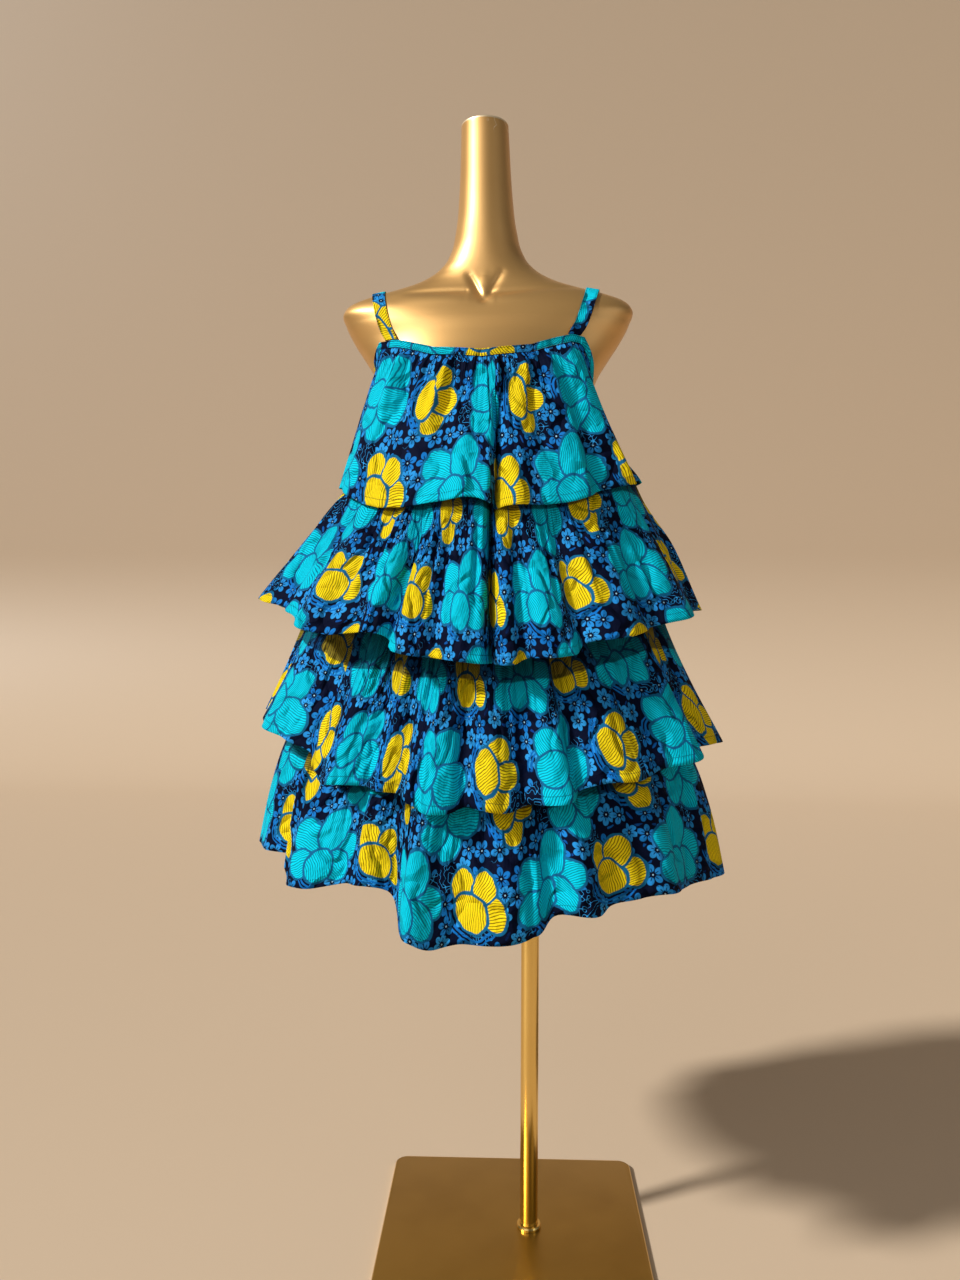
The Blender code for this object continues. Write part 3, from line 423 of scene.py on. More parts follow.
def section(sizes, angles):
    """Radius of an oval with its own left, right, front and back half-widths."""
    left, right, front, back = sizes
    s, c = np.sin(np.radians(angles)), np.cos(np.radians(angles))
    side = np.where(s > 0, right, left)
    depth = np.where(c > 0, front, back)
    return 1.0 / np.sqrt((s / side) ** 2 + (c / depth) ** 2)


def form_radius(angles, heights):
    """Radius of the form, about its own middle at that height."""
    width, front, back, _, _, power = np.moveaxis(curve(FORM, heights), -1, 0)
    s, c = np.abs(np.sin(np.radians(angles))), np.cos(np.radians(angles))
    depth = np.where(c > 0, front, back)
    return ((s / width) ** power + (np.abs(c) / depth) ** power) ** (-1.0 / power)


def with_back(rows):
    """The front folds and ones like them at the back."""
    rows = list(rows)
    for top, hem, out, left, right, start, full, gone in rows[:]:
        turn = BACK_TURN * math.sin(3.0 * math.radians(hem))
        rows.append((180 - top + turn, 180 - hem + turn, out * BACK_SHARE, right, left, start, full, gone))
    return rows


def raised(rows, angles, share, at_top=0.0):
    """How far rows of folds stand out, for the share of the way down."""
    total = np.zeros(np.broadcast(angles, share).shape)
    for top, hem, out, left, right, start, full, gone in with_back(rows):
        middle = top + (hem - top) * share
        off = (angles - middle + 180.0) % 360.0 - 180.0
        reach = np.where(off < 0, left, right)
        bump = np.cos(0.5 * math.pi * np.clip(off / reach, -1.0, 1.0)) ** 2
        grow = at_top * (start == 0.0) + smooth((share - start) / (full - start))
        fade = 1.0 - smooth((share - full) / (gone - full))
        total += out * bump * np.minimum(grow, 1.0) * fade
    return total


def fold_height(tier, angles, share):
    """How far the folds, creases and gathers stand out, for the share of the way down."""
    creases = [row[:2] + (row[2] * CREASE_DEPTH[tier],) + row[3:] for row in CREASES[tier]]
    total = raised(FOLDS[tier] + creases, angles, share, PLEAT_TOP)
    waves, at_seam, at_hem = GATHERS[tier]
    turn = np.radians(angles)
    (slow, far), (quick, near) = GATHER_DRIFT
    phase = waves * turn + far * np.sin(slow * turn + tier) + near * np.sin(quick * turn)
    return total + (at_seam + (at_hem - at_seam) * share) * np.sin(phase)


def edge_slant(angles):
    """How much longer the upper edge is than level, where it runs steeply."""
    rise = round_line(EDGE, angles + SLANT_STEP) - round_line(EDGE, angles - SLANT_STEP)
    run = 2.0 * math.radians(SLANT_STEP) * section(TOPS[0], angles)
    return np.minimum(np.sqrt(1.0 + (rise / run) ** 2), MOST_EDGE_SLANT)


def band_drop(angles):
    """How far down a band reaches from the top edge."""
    return BAND_HEIGHT * edge_slant(angles)


def soft_min(a, b, soft):
    """The smaller of two values, with a soft change from one to the other."""
    low = np.minimum(a, b)
    return low - soft * np.log(np.exp((low - a) / soft) + np.exp((low - b) / soft))


def tier_grid(tier, angles, shares, above):
    """Heights, outer and inner radii of a tier, as rows of points by angle."""
    share = np.asarray(shares)[:, None]
    angle = np.asarray(angles)[None, :]
    if above is None:
        top = round_line(EDGE, angle) - band_drop(angle) - GAP * edge_slant(angle)
    else:
        z_up, r_up = above
        seam = np.interp(SEAMS[tier - 1], shares, np.arange(len(shares)))
        low = int(seam)
        top = (z_up[low] + (z_up[low + 1] - z_up[low]) * (seam - low))[None, :]
    hem = soft_line(HEM_LINES[tier], angle)
    z = top + (hem - top) * share
    out = curve(PROFILES[tier], share)[..., 0]
    base = section(TOPS[tier], angle)
    r = base + (section(HEMS[tier], angle) - base) * out + fold_height(tier, angle, share)
    r = -soft_min(-r, -(form_radius(angle, z) + FORM_ROOM), FORM_SOFT)
    if tier == 0:
        r = r + raised(PLEATS, angle, share)
    if above is not None:
        over = np.empty_like(r)
        for i in range(z.shape[1]):
            over[:, i] = np.interp(-z[:, i], -z_up[:, i], r_up[:, i])
        room = LAYER_GAP + LAYER_ROOM * smooth((top - z) / ROOM_RAMP)
        under = np.maximum(z_up[-1][None, :] - z, 0.0)
        free = soft_min(r, over - room + HEM_RELEASE * under, LAYER_SOFT)
        r = over - LAYER_GAP + (free - over + LAYER_GAP) * smooth(share / SEAM_BLEND)
    ring = np.radians(np.concatenate([[angles[-1] - 360.0], angles, [angles[0] + 360.0]]))
    around = np.gradient(np.concatenate([r[:, -1:], r, r[:, :1]], axis=1), ring, axis=1)[:, 1:-1] / r
    down = np.gradient(r, axis=0) / np.minimum(np.gradient(z, axis=0), -1e-4)
    slant = np.clip(np.sqrt(1.0 + around**2 + down**2), 1.0, MOST_SLANT)
    return z, r, r - WALL * slant


def place(angle, radius, height):
    """Points at these angles and distances from the body's axis."""
    turn = np.radians(angle)
    x = BODY_AT[0] + radius * np.sin(turn)
    y = BODY_AT[1] - radius * np.cos(turn)
    return np.stack(np.broadcast_arrays(x, y, height), axis=-1)


# ---------------------------------------------------------------- modelling

def deselect():
    bpy.ops.object.select_all(action="DESELECT")


def select_only(made):
    deselect()
    made.select_set(True)
    bpy.context.view_layer.objects.active = made


def in_edit(made, *steps):
    """Takes these steps in edit mode, on this piece alone."""
    select_only(made)
    bpy.ops.object.mode_set(mode="EDIT")
    for step in steps:
        step()
    bpy.ops.object.mode_set(mode="OBJECT")


def pick_all():
    bpy.ops.mesh.select_all(action="SELECT")


def cloth_grid(name, points):
    """A grid primitive shaped to rows and columns of points."""
    rows, columns = points.shape[:2]
    deselect()
    bpy.ops.mesh.primitive_grid_add(x_subdivisions=columns - 1, y_subdivisions=rows - 1, size=1.0)
    made = bpy.context.object
    made.name = made.data.name = name
    # The primitive's vertices run along X first, then up Y
    flat = np.ascontiguousarray(points.reshape(-1, 3), np.float32)
    made.data.vertices.foreach_set("co", flat.ravel())
    made.data.update()
    return made


def map_points(made, layer, values):
    """A UV map from one pair of numbers for each vertex of the grid."""
    mesh = made.data
    uv = mesh.uv_layers.new(name=layer)
    corner = np.empty(len(mesh.loops), np.int32)
    mesh.loops.foreach_get("vertex_index", corner)
    uv.data.foreach_set("uv", np.ascontiguousarray(values.reshape(-1, 2)[corner], np.float32).ravel())


def merge_doubles(made):
    in_edit(made, pick_all, lambda: bpy.ops.mesh.remove_doubles(threshold=MERGE_WITHIN))


def face_out(made):
    in_edit(made, pick_all, lambda: bpy.ops.mesh.normals_make_consistent(inside=False))


def close_ends(made):
    """Fills the open loops at the ends of a tube."""

    def fill():
        bpy.ops.mesh.select_mode(type="EDGE")
        bpy.ops.mesh.select_all(action="DESELECT")
        bpy.ops.mesh.select_non_manifold()
        bpy.ops.mesh.fill_holes(sides=0)

    in_edit(made, fill)


def apply(made, kind, **settings):
    """Adds a modifier and applies it."""
    select_only(made)
    step = made.modifiers.new(kind.lower(), kind)
    for key, value in settings.items():
        setattr(step, key, value)
    bpy.ops.object.modifier_apply(modifier=step.name)


def shade(made, angle=None):
    """Smooth all over, or only where faces meet at less than this angle."""
    select_only(made)
    if angle is None:
        bpy.ops.object.shade_smooth()
    else:
        bpy.ops.object.shade_smooth_by_angle(angle=math.radians(angle))


def settle(made, look, slot_name, *nodes):
    """Gives a finished piece its look and its body, and hides the solids that it stands for."""
    made.data.materials.clear()
    made.data.materials.append(look)
    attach(made, "root")
    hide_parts(*nodes)


def run_length(points, axis):
    """Distance along rows or columns of points."""
    step = np.linalg.norm(np.diff(points, axis=axis), axis=-1)
    start = np.zeros_like(np.take(step, [0], axis=axis))
    return np.concatenate([start, np.cumsum(step, axis=axis)], axis=axis)


def tier_shares():
    """Rows of a tier, closer together at the seam and at the hem."""
    even = np.linspace(0.0, 1.0, ROWS)
    return even - ROW_CROWDING * np.sin(2.0 * math.pi * even)


def printed(tier, around, down):
    """Where the flat print falls on a tier: the gathers take up more of it in some places than in others."""
    at, along = np.array(PRINT_ROUND[tier]).T
    inside = np.interp(around, at, along)
    outside = around - np.clip(around, at[0], at[-1])
    row_down, row_up, row_along = PRINT_DOWN[tier]
    return inside + outside + row_along, row_up - (down - row_down)


def dress_tiers(look):
    """The four tiers, from the top down; also the angles of the grid and the first tier's outer radius at the top."""
    angles = -180.0 + 360.0 * np.arange(COLUMNS) / COLUMNS
    shares = tier_shares()
    above = None
    for tier in range(len(HEMS)):
        z, outer, inner = tier_grid(tier, angles, shares, above)
        above = (z, inner)
        middle = 0.5 * (outer + inner)
        points = place(angles[None, :], middle, z)
        points = np.concatenate([points, points[:, :1]], axis=1)
        around = run_length(points[-1:], 1)[0]
        around -= around[COLUMNS // 2]
        down = run_length(points, 0)
        height = down[-1].mean()
        along, up = printed(tier, around, shares * height)
        cloth_map = np.stack(np.broadcast_arrays(along[None, :], up[:, None]), -1)
        edge_map = np.stack([down[-1][None, :] - down, down - SHOWN_FROM[tier]], -1)
        made = cloth_grid(f"tier_{tier + 1}_cloth", points)
        map_points(made, "cloth", cloth_map)
        map_points(made, "edges", edge_map)
        merge_doubles(made)
        apply(made, "SOLIDIFY", thickness=WALL, offset=0.0, use_rim=True)
        face_out(made)
        shade(made)
        settle(made, look, f"tier_{tier + 1}_front", f"tier_{tier + 1}_front", f"tier_{tier + 1}_back")
    return angles, tier_grid(0, angles, shares, None)[1][0]


def edge_ring(first, angles):
    """Outer radii of the bands all round: upper and lower edge, with their heights."""
    top = round_line(EDGE, angles)
    z = np.stack([top, top - band_drop(angles)])
    out = np.maximum(first[None, :] + BAND_OUT, form_radius(angles[None, :], z) + BAND_ROOM)
    return z, out


def strip_loop(outer, inner):
    """A closed cross-section round two rows of points, as a rounded strip: points by (round, along)."""
    rows = [outer[0] + (outer[1] - outer[0]) * share for share in STRIP_FACE]
    rows += [inner[0] + (inner[1] - inner[0]) * share for share in STRIP_LINING]
    loop = np.array(rows + rows[:1])
    middle = 0.25 * (outer[0] + outer[1] + inner[0] + inner[1])
    # The corners are drawn in, so that the strip's edges look folded and not cut
    for i in (0, len(STRIP_FACE) - 1, len(STRIP_FACE), len(rows) - 1, len(rows)):
        loop[i] = middle + (loop[i] - middle) * (1.0 - CORNER_DRAW)
    return loop


def closed_strip(name, outer, inner):
    """A strip of cloth from its two faces' edges, mapped to the print; also its length and the way round it."""
    loop = strip_loop(outer, inner)
    lengths = run_length(outer[:1], 1)[0]
    widths = run_length(loop[:, :1], 0)[:, 0]
    made = cloth_grid(name + "_cloth", loop)
    along, up = STRIP_CUTS[name]
    map_points(made, "cloth", np.stack(np.broadcast_arrays(along + lengths[None, :], up + widths[:, None]), -1))
    face_edge = widths[len(STRIP_FACE) - 1]
    inward = np.minimum(np.minimum(widths, widths[-1] - widths), np.abs(face_edge - widths))
    inward = HEM_FOLD - STRIP_STITCH + inward
    map_points(made, "edges", np.stack(np.broadcast_arrays(inward[:, None], 1.0 + 0.0 * lengths[None, :]), -1))
    merge_doubles(made)
    close_ends(made)
    face_out(made)
    shade(made, SHARP_ANGLE)
    return made, float(lengths[-1]), float(widths[-1])


def dress_bands(look, angles, first):
    """The folded bands along the neckline and the armholes."""
    z, out = edge_ring(first, angles)
    inset = math.degrees(GAP / 2 / TOPS[0][2])
    for name, start, end in BANDS:
        start, end = start + inset, end - inset
        between = np.arange(math.ceil(start + 0.2 * BAND_STEP), end - 0.2 * BAND_STEP, BAND_STEP)
        spots = np.concatenate([[start], between, [end]])
        z_at = np.array([np.interp(spots, angles, row, period=360.0) for row in z])
        out_at = np.array([np.interp(spots, angles, row, period=360.0) for row in out])
        outer = place(spots, out_at, z_at)
        inner = place(spots, out_at - BAND_WALL, z_at)
        made, length, girth = closed_strip(name, outer, inner)
        settle(made, look, name, name)


def shoulder_distance(x, turn):
    """How far the form reaches from a line inside the shoulder, by the angle up from the front."""
    low, high = 0.0, SHOULDER_REACH
    for _ in range(HALVINGS):
        reach = 0.5 * (low + high)
        y = -reach * math.cos(turn)
        height = SHOULDER_LEVEL + reach * math.sin(turn)
        width, front, back, offset, _, power = curve(FORM, height)
        y -= offset
        depth = front if y < 0 else back
        if abs(x / width) ** power + abs(y / depth) ** power < 1.0:
            low = reach
        else:
            high = reach
    return low


def band_point(x, angles, first, back):
    """Where a band's top edge passes this distance from the middle: depth and height."""
    z, out = edge_ring(first, angles)
    spots = np.linspace(*(BACK_SEARCH if back else FRONT_SEARCH), SEARCHED)
    spots = spots * (1.0 if x > 0 else -1.0)
    top = np.interp(spots, angles, z[0], period=360.0)
    radius = np.interp(spots, angles, out[0], period=360.0)
    best = int(np.argmin(np.abs(radius * np.sin(np.radians(spots)) - x)))
    return -radius[best] * math.cos(math.radians(spots[best])), top[best]


def dress_straps(look, angles, first):
    """The straps, from the band at the front over the shoulder to the band at the back."""
    for name, front_x, top_x, back_x in STRAPS:
        side = 1.0 if top_x > 0 else -1.0
        outer, inner = [], []
        for across in (-0.5 * STRAP_WIDTH, 0.5 * STRAP_WIDTH):
            front = band_point(front_x + across, angles, first, False)
            back = band_point(back_x + across, angles, first, True)
            ends = []
            for y, z in (front, back):
                z += STRAP_END_GAP - SHOULDER_LEVEL
                z += STRAP_WALL * max(0.0, z / math.hypot(y, z))
                ends.append((math.atan2(z, -y), math.hypot(y, z)))
            outer_row, inner_row = [], []
            for i in range(STRAP_STEPS + 1):
                share = i / STRAP_STEPS
                turn = ends[0][0] + (ends[1][0] - ends[0][0]) * share
                middle = math.sin(math.pi * share)
                end_x, low = (front_x, ends[0][0]) if turn < 0.5 * math.pi else (back_x, ends[1][0])
                climb = (math.sin(turn) - math.sin(low)) / (1.0 - math.sin(low))
                x = end_x + (top_x - end_x) * climb + across
                lift = STRAP_LIFT + STRAP_TILT * max(0.0, side * across / STRAP_WIDTH + 0.5) * middle
                rest = shoulder_distance(x, turn) + lift
                near = 1.0 - smooth(min(share, 1.0 - share) / STRAP_BLEND)
                end = ends[0][1] if share < 0.5 else ends[1][1]
                reach = max(rest, rest + (end - STRAP_WALL - rest) * near)
                for row, more in ((inner_row, 0.0), (outer_row, STRAP_WALL)):
                    row.append(
                        (
                            BODY_AT[0] + x,
                            BODY_AT[1] - (reach + more) * math.cos(turn),
                            SHOULDER_LEVEL + (reach + more) * math.sin(turn),
                        )
                    )
            outer.append(outer_row)
            inner.append(inner_row)
        made, length, girth = closed_strip(name, np.array(outer), np.array(inner))
        settle(made, look, name, name)


def relief(across, height):
    """How far the form's front stands out at its collar line and in the hollow of the throat."""
    total = np.zeros(np.broadcast(across, height).shape)
    for x0, z0, x1, z1, out, wide in RELIEF:
        span = np.array([x1 - x0, z1 - z0])
        t = ((across - x0) * span[0] + (height - z0) * span[1]) / (span @ span)
        near = np.clip(t, 0.0, 1.0)
        gap = np.hypot(across - x0 - near * span[0], height - z0 - near * span[1])
        # Each line is lowest at its ends
        full = 0.35 + 0.65 * np.sin(math.pi * np.clip(t, 0.02, 0.98)) ** 0.6
        total += out * np.exp(-((gap / wide) ** 2)) * full
    return total


def form_skin(look):
    """The smooth form, from its flat underside to the rounded edge of its neck."""
    top = FORM[-1][0] - NECK_EDGE
    rounding = np.radians(NECK_TURNS)
    heights = [np.linspace(low, high, rows)[:-1] for low, high, rows in FORM_ROWS]
    heights += [np.linspace(FORM_ROWS[-1][1], top, NECK_ROWS), top + NECK_EDGE * np.sin(rounding)]
    heights = np.concatenate(heights)
    angles = np.linspace(-180.0, 180.0, FORM_SIDES + 1)
    r = form_radius(angles[None, :], heights[:, None])
    r[-len(rounding):] -= NECK_EDGE * (1.0 - np.cos(rounding))[:, None]
    front = smooth(3.0 * np.cos(np.radians(angles)))[None, :]
    r = r + relief(r * np.sin(np.radians(angles))[None, :], heights[:, None]) * front
    points = place(angles[None, :], r, heights[:, None])
    rows = curve(FORM, heights)
    points[..., 1] += rows[:, None, 3]
    points[..., 0] -= rows[:, None, 4]
    made = cloth_grid("form_skin", points)
    merge_doubles(made)
    close_ends(made)
    face_out(made)
    shade(made, SHARP_ANGLE)
    settle(made, look, "form_body", "form_body")


def soften_edges(made, width, segments):
    apply(
        made, "BEVEL", width=width, segments=segments, limit_method="ANGLE", angle_limit=math.radians(SHARP_ANGLE)
    )


def stand(plate_look, pole_look):
    """The round pole and the square plate with its rounded corners."""
    top = FORM[0][0] - GAP
    foot = PLATE_THICK + GAP
    deselect()
    bpy.ops.mesh.primitive_cylinder_add(
        vertices=POLE_SIDES, radius=POLE_RADIUS, depth=top - foot, location=(*POLE_AT, 0.5 * (top + foot))
    )
    pole = bpy.context.object
    pole.name = pole.data.name = "pole_tube"
    bpy.ops.object.transform_apply()
    soften_edges(pole, POLE_BEVEL, 2)
    shade(pole, SHARP_ANGLE)
    settle(pole, pole_look, "pole", "pole")
    deselect()
    bpy.ops.mesh.primitive_cube_add(size=1.0, location=(0, 0, PLATE_THICK / 2))
    plate = bpy.context.object
    plate.name = plate.data.name = "plate_sheet"
    plate.scale = (PLATE_SIDE, PLATE_SIDE, PLATE_THICK)
    bpy.ops.object.transform_apply()

    def round_corners():
        bpy.ops.mesh.select_mode(type="EDGE")
        bpy.ops.mesh.select_all(action="DESELECT")
        bm = bmesh.from_edit_mesh(plate.data)
        for edge in bm.edges:
            edge.select_set(abs(edge.verts[0].co.z - edge.verts[1].co.z) > PLATE_THICK / 2)
        bmesh.update_edit_mesh(plate.data)
        bpy.ops.mesh.bevel(offset=PLATE_CORNER, segments=10, profile=0.5, affect="EDGES")

    in_edit(plate, round_corners)
    soften_edges(plate, PLATE_BEVEL, 3)
    plate.rotation_euler = (0, 0, math.radians(PLATE_TURN))
    bpy.ops.object.transform_apply()
    shade(plate, SHARP_ANGLE)
    settle(plate, plate_look, "base_plate", "base_plate")


# ---------------------------------------------------------------- materials

class Wire:
    """A shader socket that takes part in sums as a number does."""

    def __init__(self, paint, socket):
        self.paint, self.socket = paint, socket

    def math(self, what, *others):
        return self.paint.node("ShaderNodeMath", {"operation": what}, dict(enumerate((self,) + others)))

    def __add__(self, other):
        return self.math("ADD", other)

    __radd__ = __add__

    def __mul__(self, other):
        return self.math("MULTIPLY", other)

    __rmul__ = __mul__

    def __sub__(self, other):
        return self.math("SUBTRACT", other)

    def __rsub__(self, other):
        return self.paint.node("ShaderNodeMath", {"operation": "SUBTRACT"}, {0: other, 1: self})

    def __truediv__(self, other):
        return self.math("DIVIDE", other)

    def __rtruediv__(self, other):
        return self.paint.node("ShaderNodeMath", {"operation": "DIVIDE"}, {0: other, 1: self})

    def __pow__(self, other):
        return self.math("POWER", other)

    def __abs__(self):
        return self.math("ABSOLUTE")


class Paint:
    """One material and the nodes that make it."""

    def __init__(self, name, metallic=0.0, roughness=0.8):
        self.look = bpy.data.materials.new(name)
        self.look.use_nodes = True
        self.tree = self.look.node_tree
        self.shader = self.tree.nodes["Principled BSDF"]
        self.shader.inputs["Metallic"].default_value = metallic
        self.shader.inputs["Roughness"].default_value = roughness

    def put(self, socket, value):
        """Links a Wire to a socket, or sets the socket to a value."""
        if isinstance(value, Wire):
            self.tree.links.new(value.socket, socket)
        else:
            socket.default_value = value

    def node(self, kind, settings=None, values=None, out=0):
        """Any node, from its type, its settings and what its sockets get; gives one of its outputs."""
        made = self.tree.nodes.new(kind)
        for key, value in (settings or {}).items():
            setattr(made, key, value)
        for key, value in (values or {}).items():
            self.put(made.inputs[key], value)
        return Wire(self, made.outputs[out])

    def finish(self, **sockets):
        """Feeds the shader's sockets; gives the material."""
        for key, value in sockets.items():
            self.put(self.shader.inputs[key.replace("_", " ")], value)
        return self.look

    def step(self, value, low, high):
        """0 below low and 1 above high, with a soft change."""
        limits = {"Value": value, "From Min": low, "From Max": high}
        return self.node("ShaderNodeMapRange", {"interpolation_type": "SMOOTHSTEP"}, limits)

    def line(self, value, low, high):
        """1 where the value is near zero and 0 past high."""
        return 1.0 - self.step(abs(value), low, high)

    def mix(self, share, first, second, how="MIX"):
        settings = {"data_type": "RGBA", "blend_type": how}
        return self.node("ShaderNodeMix", settings, {0: share, 6: first, 7: second}, out=2)

    def parts(self, vector):
        made = self.node("ShaderNodeSeparateXYZ", {}, {0: vector}).socket.node
        return [Wire(self, socket) for socket in made.outputs]

    def together(self, x, y, z=0.0):
        return self.node("ShaderNodeCombineXYZ", {}, {0: x, 1: y, 2: z})

    def grey(self, value):
        return self.node("ShaderNodeCombineColor", {}, {0: value, 1: value, 2: value})

    def vector(self, what, *values, out=0):
        return self.node("ShaderNodeVectorMath", {"operation": what}, dict(enumerate(values)), out=out)

    def cells(self, at, pitch, uneven):
        """Uneven cells: the way from a cell's middle to this point, and the cell's own three random numbers."""
        values = {"Vector": at, "Scale": 1.0 / pitch, "Randomness": uneven}
        made = self.node("ShaderNodeTexVoronoi", {"voronoi_dimensions": "2D"}, values).socket.node
        middle, luck = (Wire(self, made.outputs[name]) for name in ("Position", "Color"))
        return self.vector("SUBTRACT", at, middle), self.parts(luck)

    def noise(self, at, scale, detail=2.0, out=0):
        return self.node("ShaderNodeTexNoise", {}, {"Vector": at, "Scale": scale, "Detail": detail}, out=out)

    def bump(self, height, strength=1.0):
        return self.node("ShaderNodeBump", {}, {"Height": height, "Distance": 1.0, "Strength": strength})


def tint(*levels):
    """A colour as the eye reads it, 0 to 255, in the renderer's own scale."""
    return (*(((c / 255 + 0.055) / 1.055) ** 2.4 if c > 10 else c / 255 / 12.92 for c in levels), 1.0)


NAVY = tint(4, 11, 36)
DEEP_BLUE = tint(10, 56, 130)
FLOWER_BLUE = tint(14, 104, 182)
LIGHT_BLUE = tint(46, 150, 220)
PALE = tint(150, 196, 222)
CYAN = tint(0, 198, 222)
CYAN_DARK = tint(0, 92, 120)
YELLOW = tint(240, 212, 22)
YELLOW_DARK = tint(92, 72, 0)
OUTLINE = tint(16, 96, 140)

# Repeat of the print, and its blooms: across, up, kind, turn, size
REPEAT = (0.208, 0.200)
BLOOMS = [
    (0.000, 0.000, "yellow", 0, 1.00),
    (0.104, 0.002, "cyan", 10, 0.92),
    (0.052, 0.100, "yellow", -62, 0.98),
    (0.156, 0.098, "cyan", -75, 0.95),
]
# Petals, from the back to the front: across, up, half-length, half-width, turn, turn of the lines
PETALS = {
    "yellow": [
        (-0.0200, 0.0165, 0.0175, 0.0150, 105, 12),
        (0.0225, -0.0110, 0.0190, 0.0145, -62, 100),
        (0.0085, 0.0150, 0.0180, 0.0152, 62, -42),
        (-0.0085, -0.0110, 0.0245, 0.0180, -30, 10),
    ],
    "cyan": [
        (-0.0260, 0.0200, 0.0260, 0.0215, 118, 65),
        (0.0350, -0.0050, 0.0215, 0.0190, -5, 100),
        (0.0150, 0.0250, 0.0270, 0.0220, 62, -20),
        (-0.0340, -0.0130, 0.0205, 0.0185, 195, -70),
        (0.0190, -0.0250, 0.0220, 0.0180, -58, 40),
        (-0.0080, -0.0180, 0.0225, 0.0185, -100, 15),
    ],
}
# Fill of each kind of bloom, and its fine lines
FILLS = {"yellow": (YELLOW, YELLOW_DARK), "cyan": (CYAN, CYAN_DARK)}
# Width of the petals' outlines, and the bands beside the front petal: start, end
RIM = 0.0030
ECHOES = [(0.0052, 0.0076), (0.0094, 0.0112)]
# Fine lines of the petals: spacing, how much they curve, how dark they are
LINE_STEP = 0.0030
LINE_CURVE = 6.0
LINE_SHARE = 0.85
# Slow drifts that take the ruled look off the blooms: noise scale, how far
DRIFTS = [(26.0, 0.012), (75.0, 0.0045)]

# Small flowers: pitch and unevenness of their cells, share of them with five petals, smallest size, how much it varies
FLOWER_PITCH = 0.0252
FLOWER_UNEVEN = 0.45
FIVE_PETALS = 0.60
FLOWER_SIZE = 0.0108
FLOWER_VARIES = 0.0022
# A petal of a small flower, as shares of its size: middle, half-length, half-width
PETAL_MIDDLE = 0.63
PETAL_LONG = 0.37
PETAL_WIDE = 0.30
# Little leaves: pitch and unevenness of their cells, share of them left empty, half-length, half-width
LEAF_PITCH = 0.0118
LEAF_UNEVEN = 0.85
LEAF_EMPTY = 0.70
LEAF_LONG = 0.0052
LEAF_WIDE = 0.0015
# Patches of wandering lines: noise scale of the patches and of the lines
PATCH_SCALE = 19.0
WANDER_SCALE = 160.0

FULL_TURN = 6.2832
STITCH_STEP = 0.0034
WEAVE_STEP = 0.0006


def flowers(paint, at):
    """Small flowers, one to a cell, on the dark ground with little leaves between them."""
    local, luck = paint.cells(at, FLOWER_PITCH, FLOWER_UNEVEN)
    x, y, _ = paint.parts(local)
    reach = paint.vector("LENGTH", local, out=1)
    wedge = FULL_TURN / (5.0 + paint.step(luck[1], FIVE_PETALS, FIVE_PETALS + 0.01))
    folded = (y.math("ARCTAN2", x) + luck[0] * FULL_TURN).math("FLOORED_MODULO", wedge) - wedge * 0.5
    size = FLOWER_SIZE + luck[2] * FLOWER_VARIES
    along = reach * folded.math("COSINE") / size - PETAL_MIDDLE
    side = reach * folded.math("SINE") / size
    petal = 1.0 - paint.step((along / PETAL_LONG) ** 2.0 + (side / PETAL_WIDE) ** 2.0, 0.80, 1.20)
    vein = paint.line(side, 0.02, 0.07) * (1.0 - paint.step(along, -0.12, 0.05))
    heart = 1.0 - paint.step(reach, 0.0006, 0.0013)

    local, leaf_luck = paint.cells(at, LEAF_PITCH, LEAF_UNEVEN)
    x, y, _ = paint.parts(local)
    swing = leaf_luck[0] * (FULL_TURN / 2)
    along = (x * swing.math("COSINE") + y * swing.math("SINE")) / LEAF_LONG
    side = (y * swing.math("COSINE") - x * swing.math("SINE")) / LEAF_WIDE
    leaf = 1.0 - paint.step(along * along + side * side, 0.7, 1.3)
    leaf = leaf * paint.step(reach / size, 1.04, 1.12) * paint.step(leaf_luck[2], LEAF_EMPTY, LEAF_EMPTY + 0.02)

    colour = paint.mix(leaf, NAVY, paint.mix(leaf_luck[1] * 0.7, DEEP_BLUE, FLOWER_BLUE))
    colour = paint.mix(petal, colour, paint.mix(luck[1], FLOWER_BLUE, LIGHT_BLUE))
    colour = paint.mix(vein * petal * 0.9, colour, NAVY)
    colour = paint.mix(heart, colour, PALE)
    patch = paint.step(paint.noise(at, PATCH_SCALE, 0.0), 0.63, 0.65)
    wander = paint.line(paint.noise(at, WANDER_SCALE, 0.0) - 0.5, 0.014, 0.030)
    return paint.mix(patch, colour, paint.mix(wander, NAVY, LIGHT_BLUE))


def turned(x, y, degrees, across=1.0, up=1.0):
    """Two numbers turned about the origin, then divided by these sizes."""
    c, s = math.cos(math.radians(degrees)), math.sin(math.radians(degrees))
    return x * (c / across) + y * (s / across), y * (c / up) - x * (s / up)


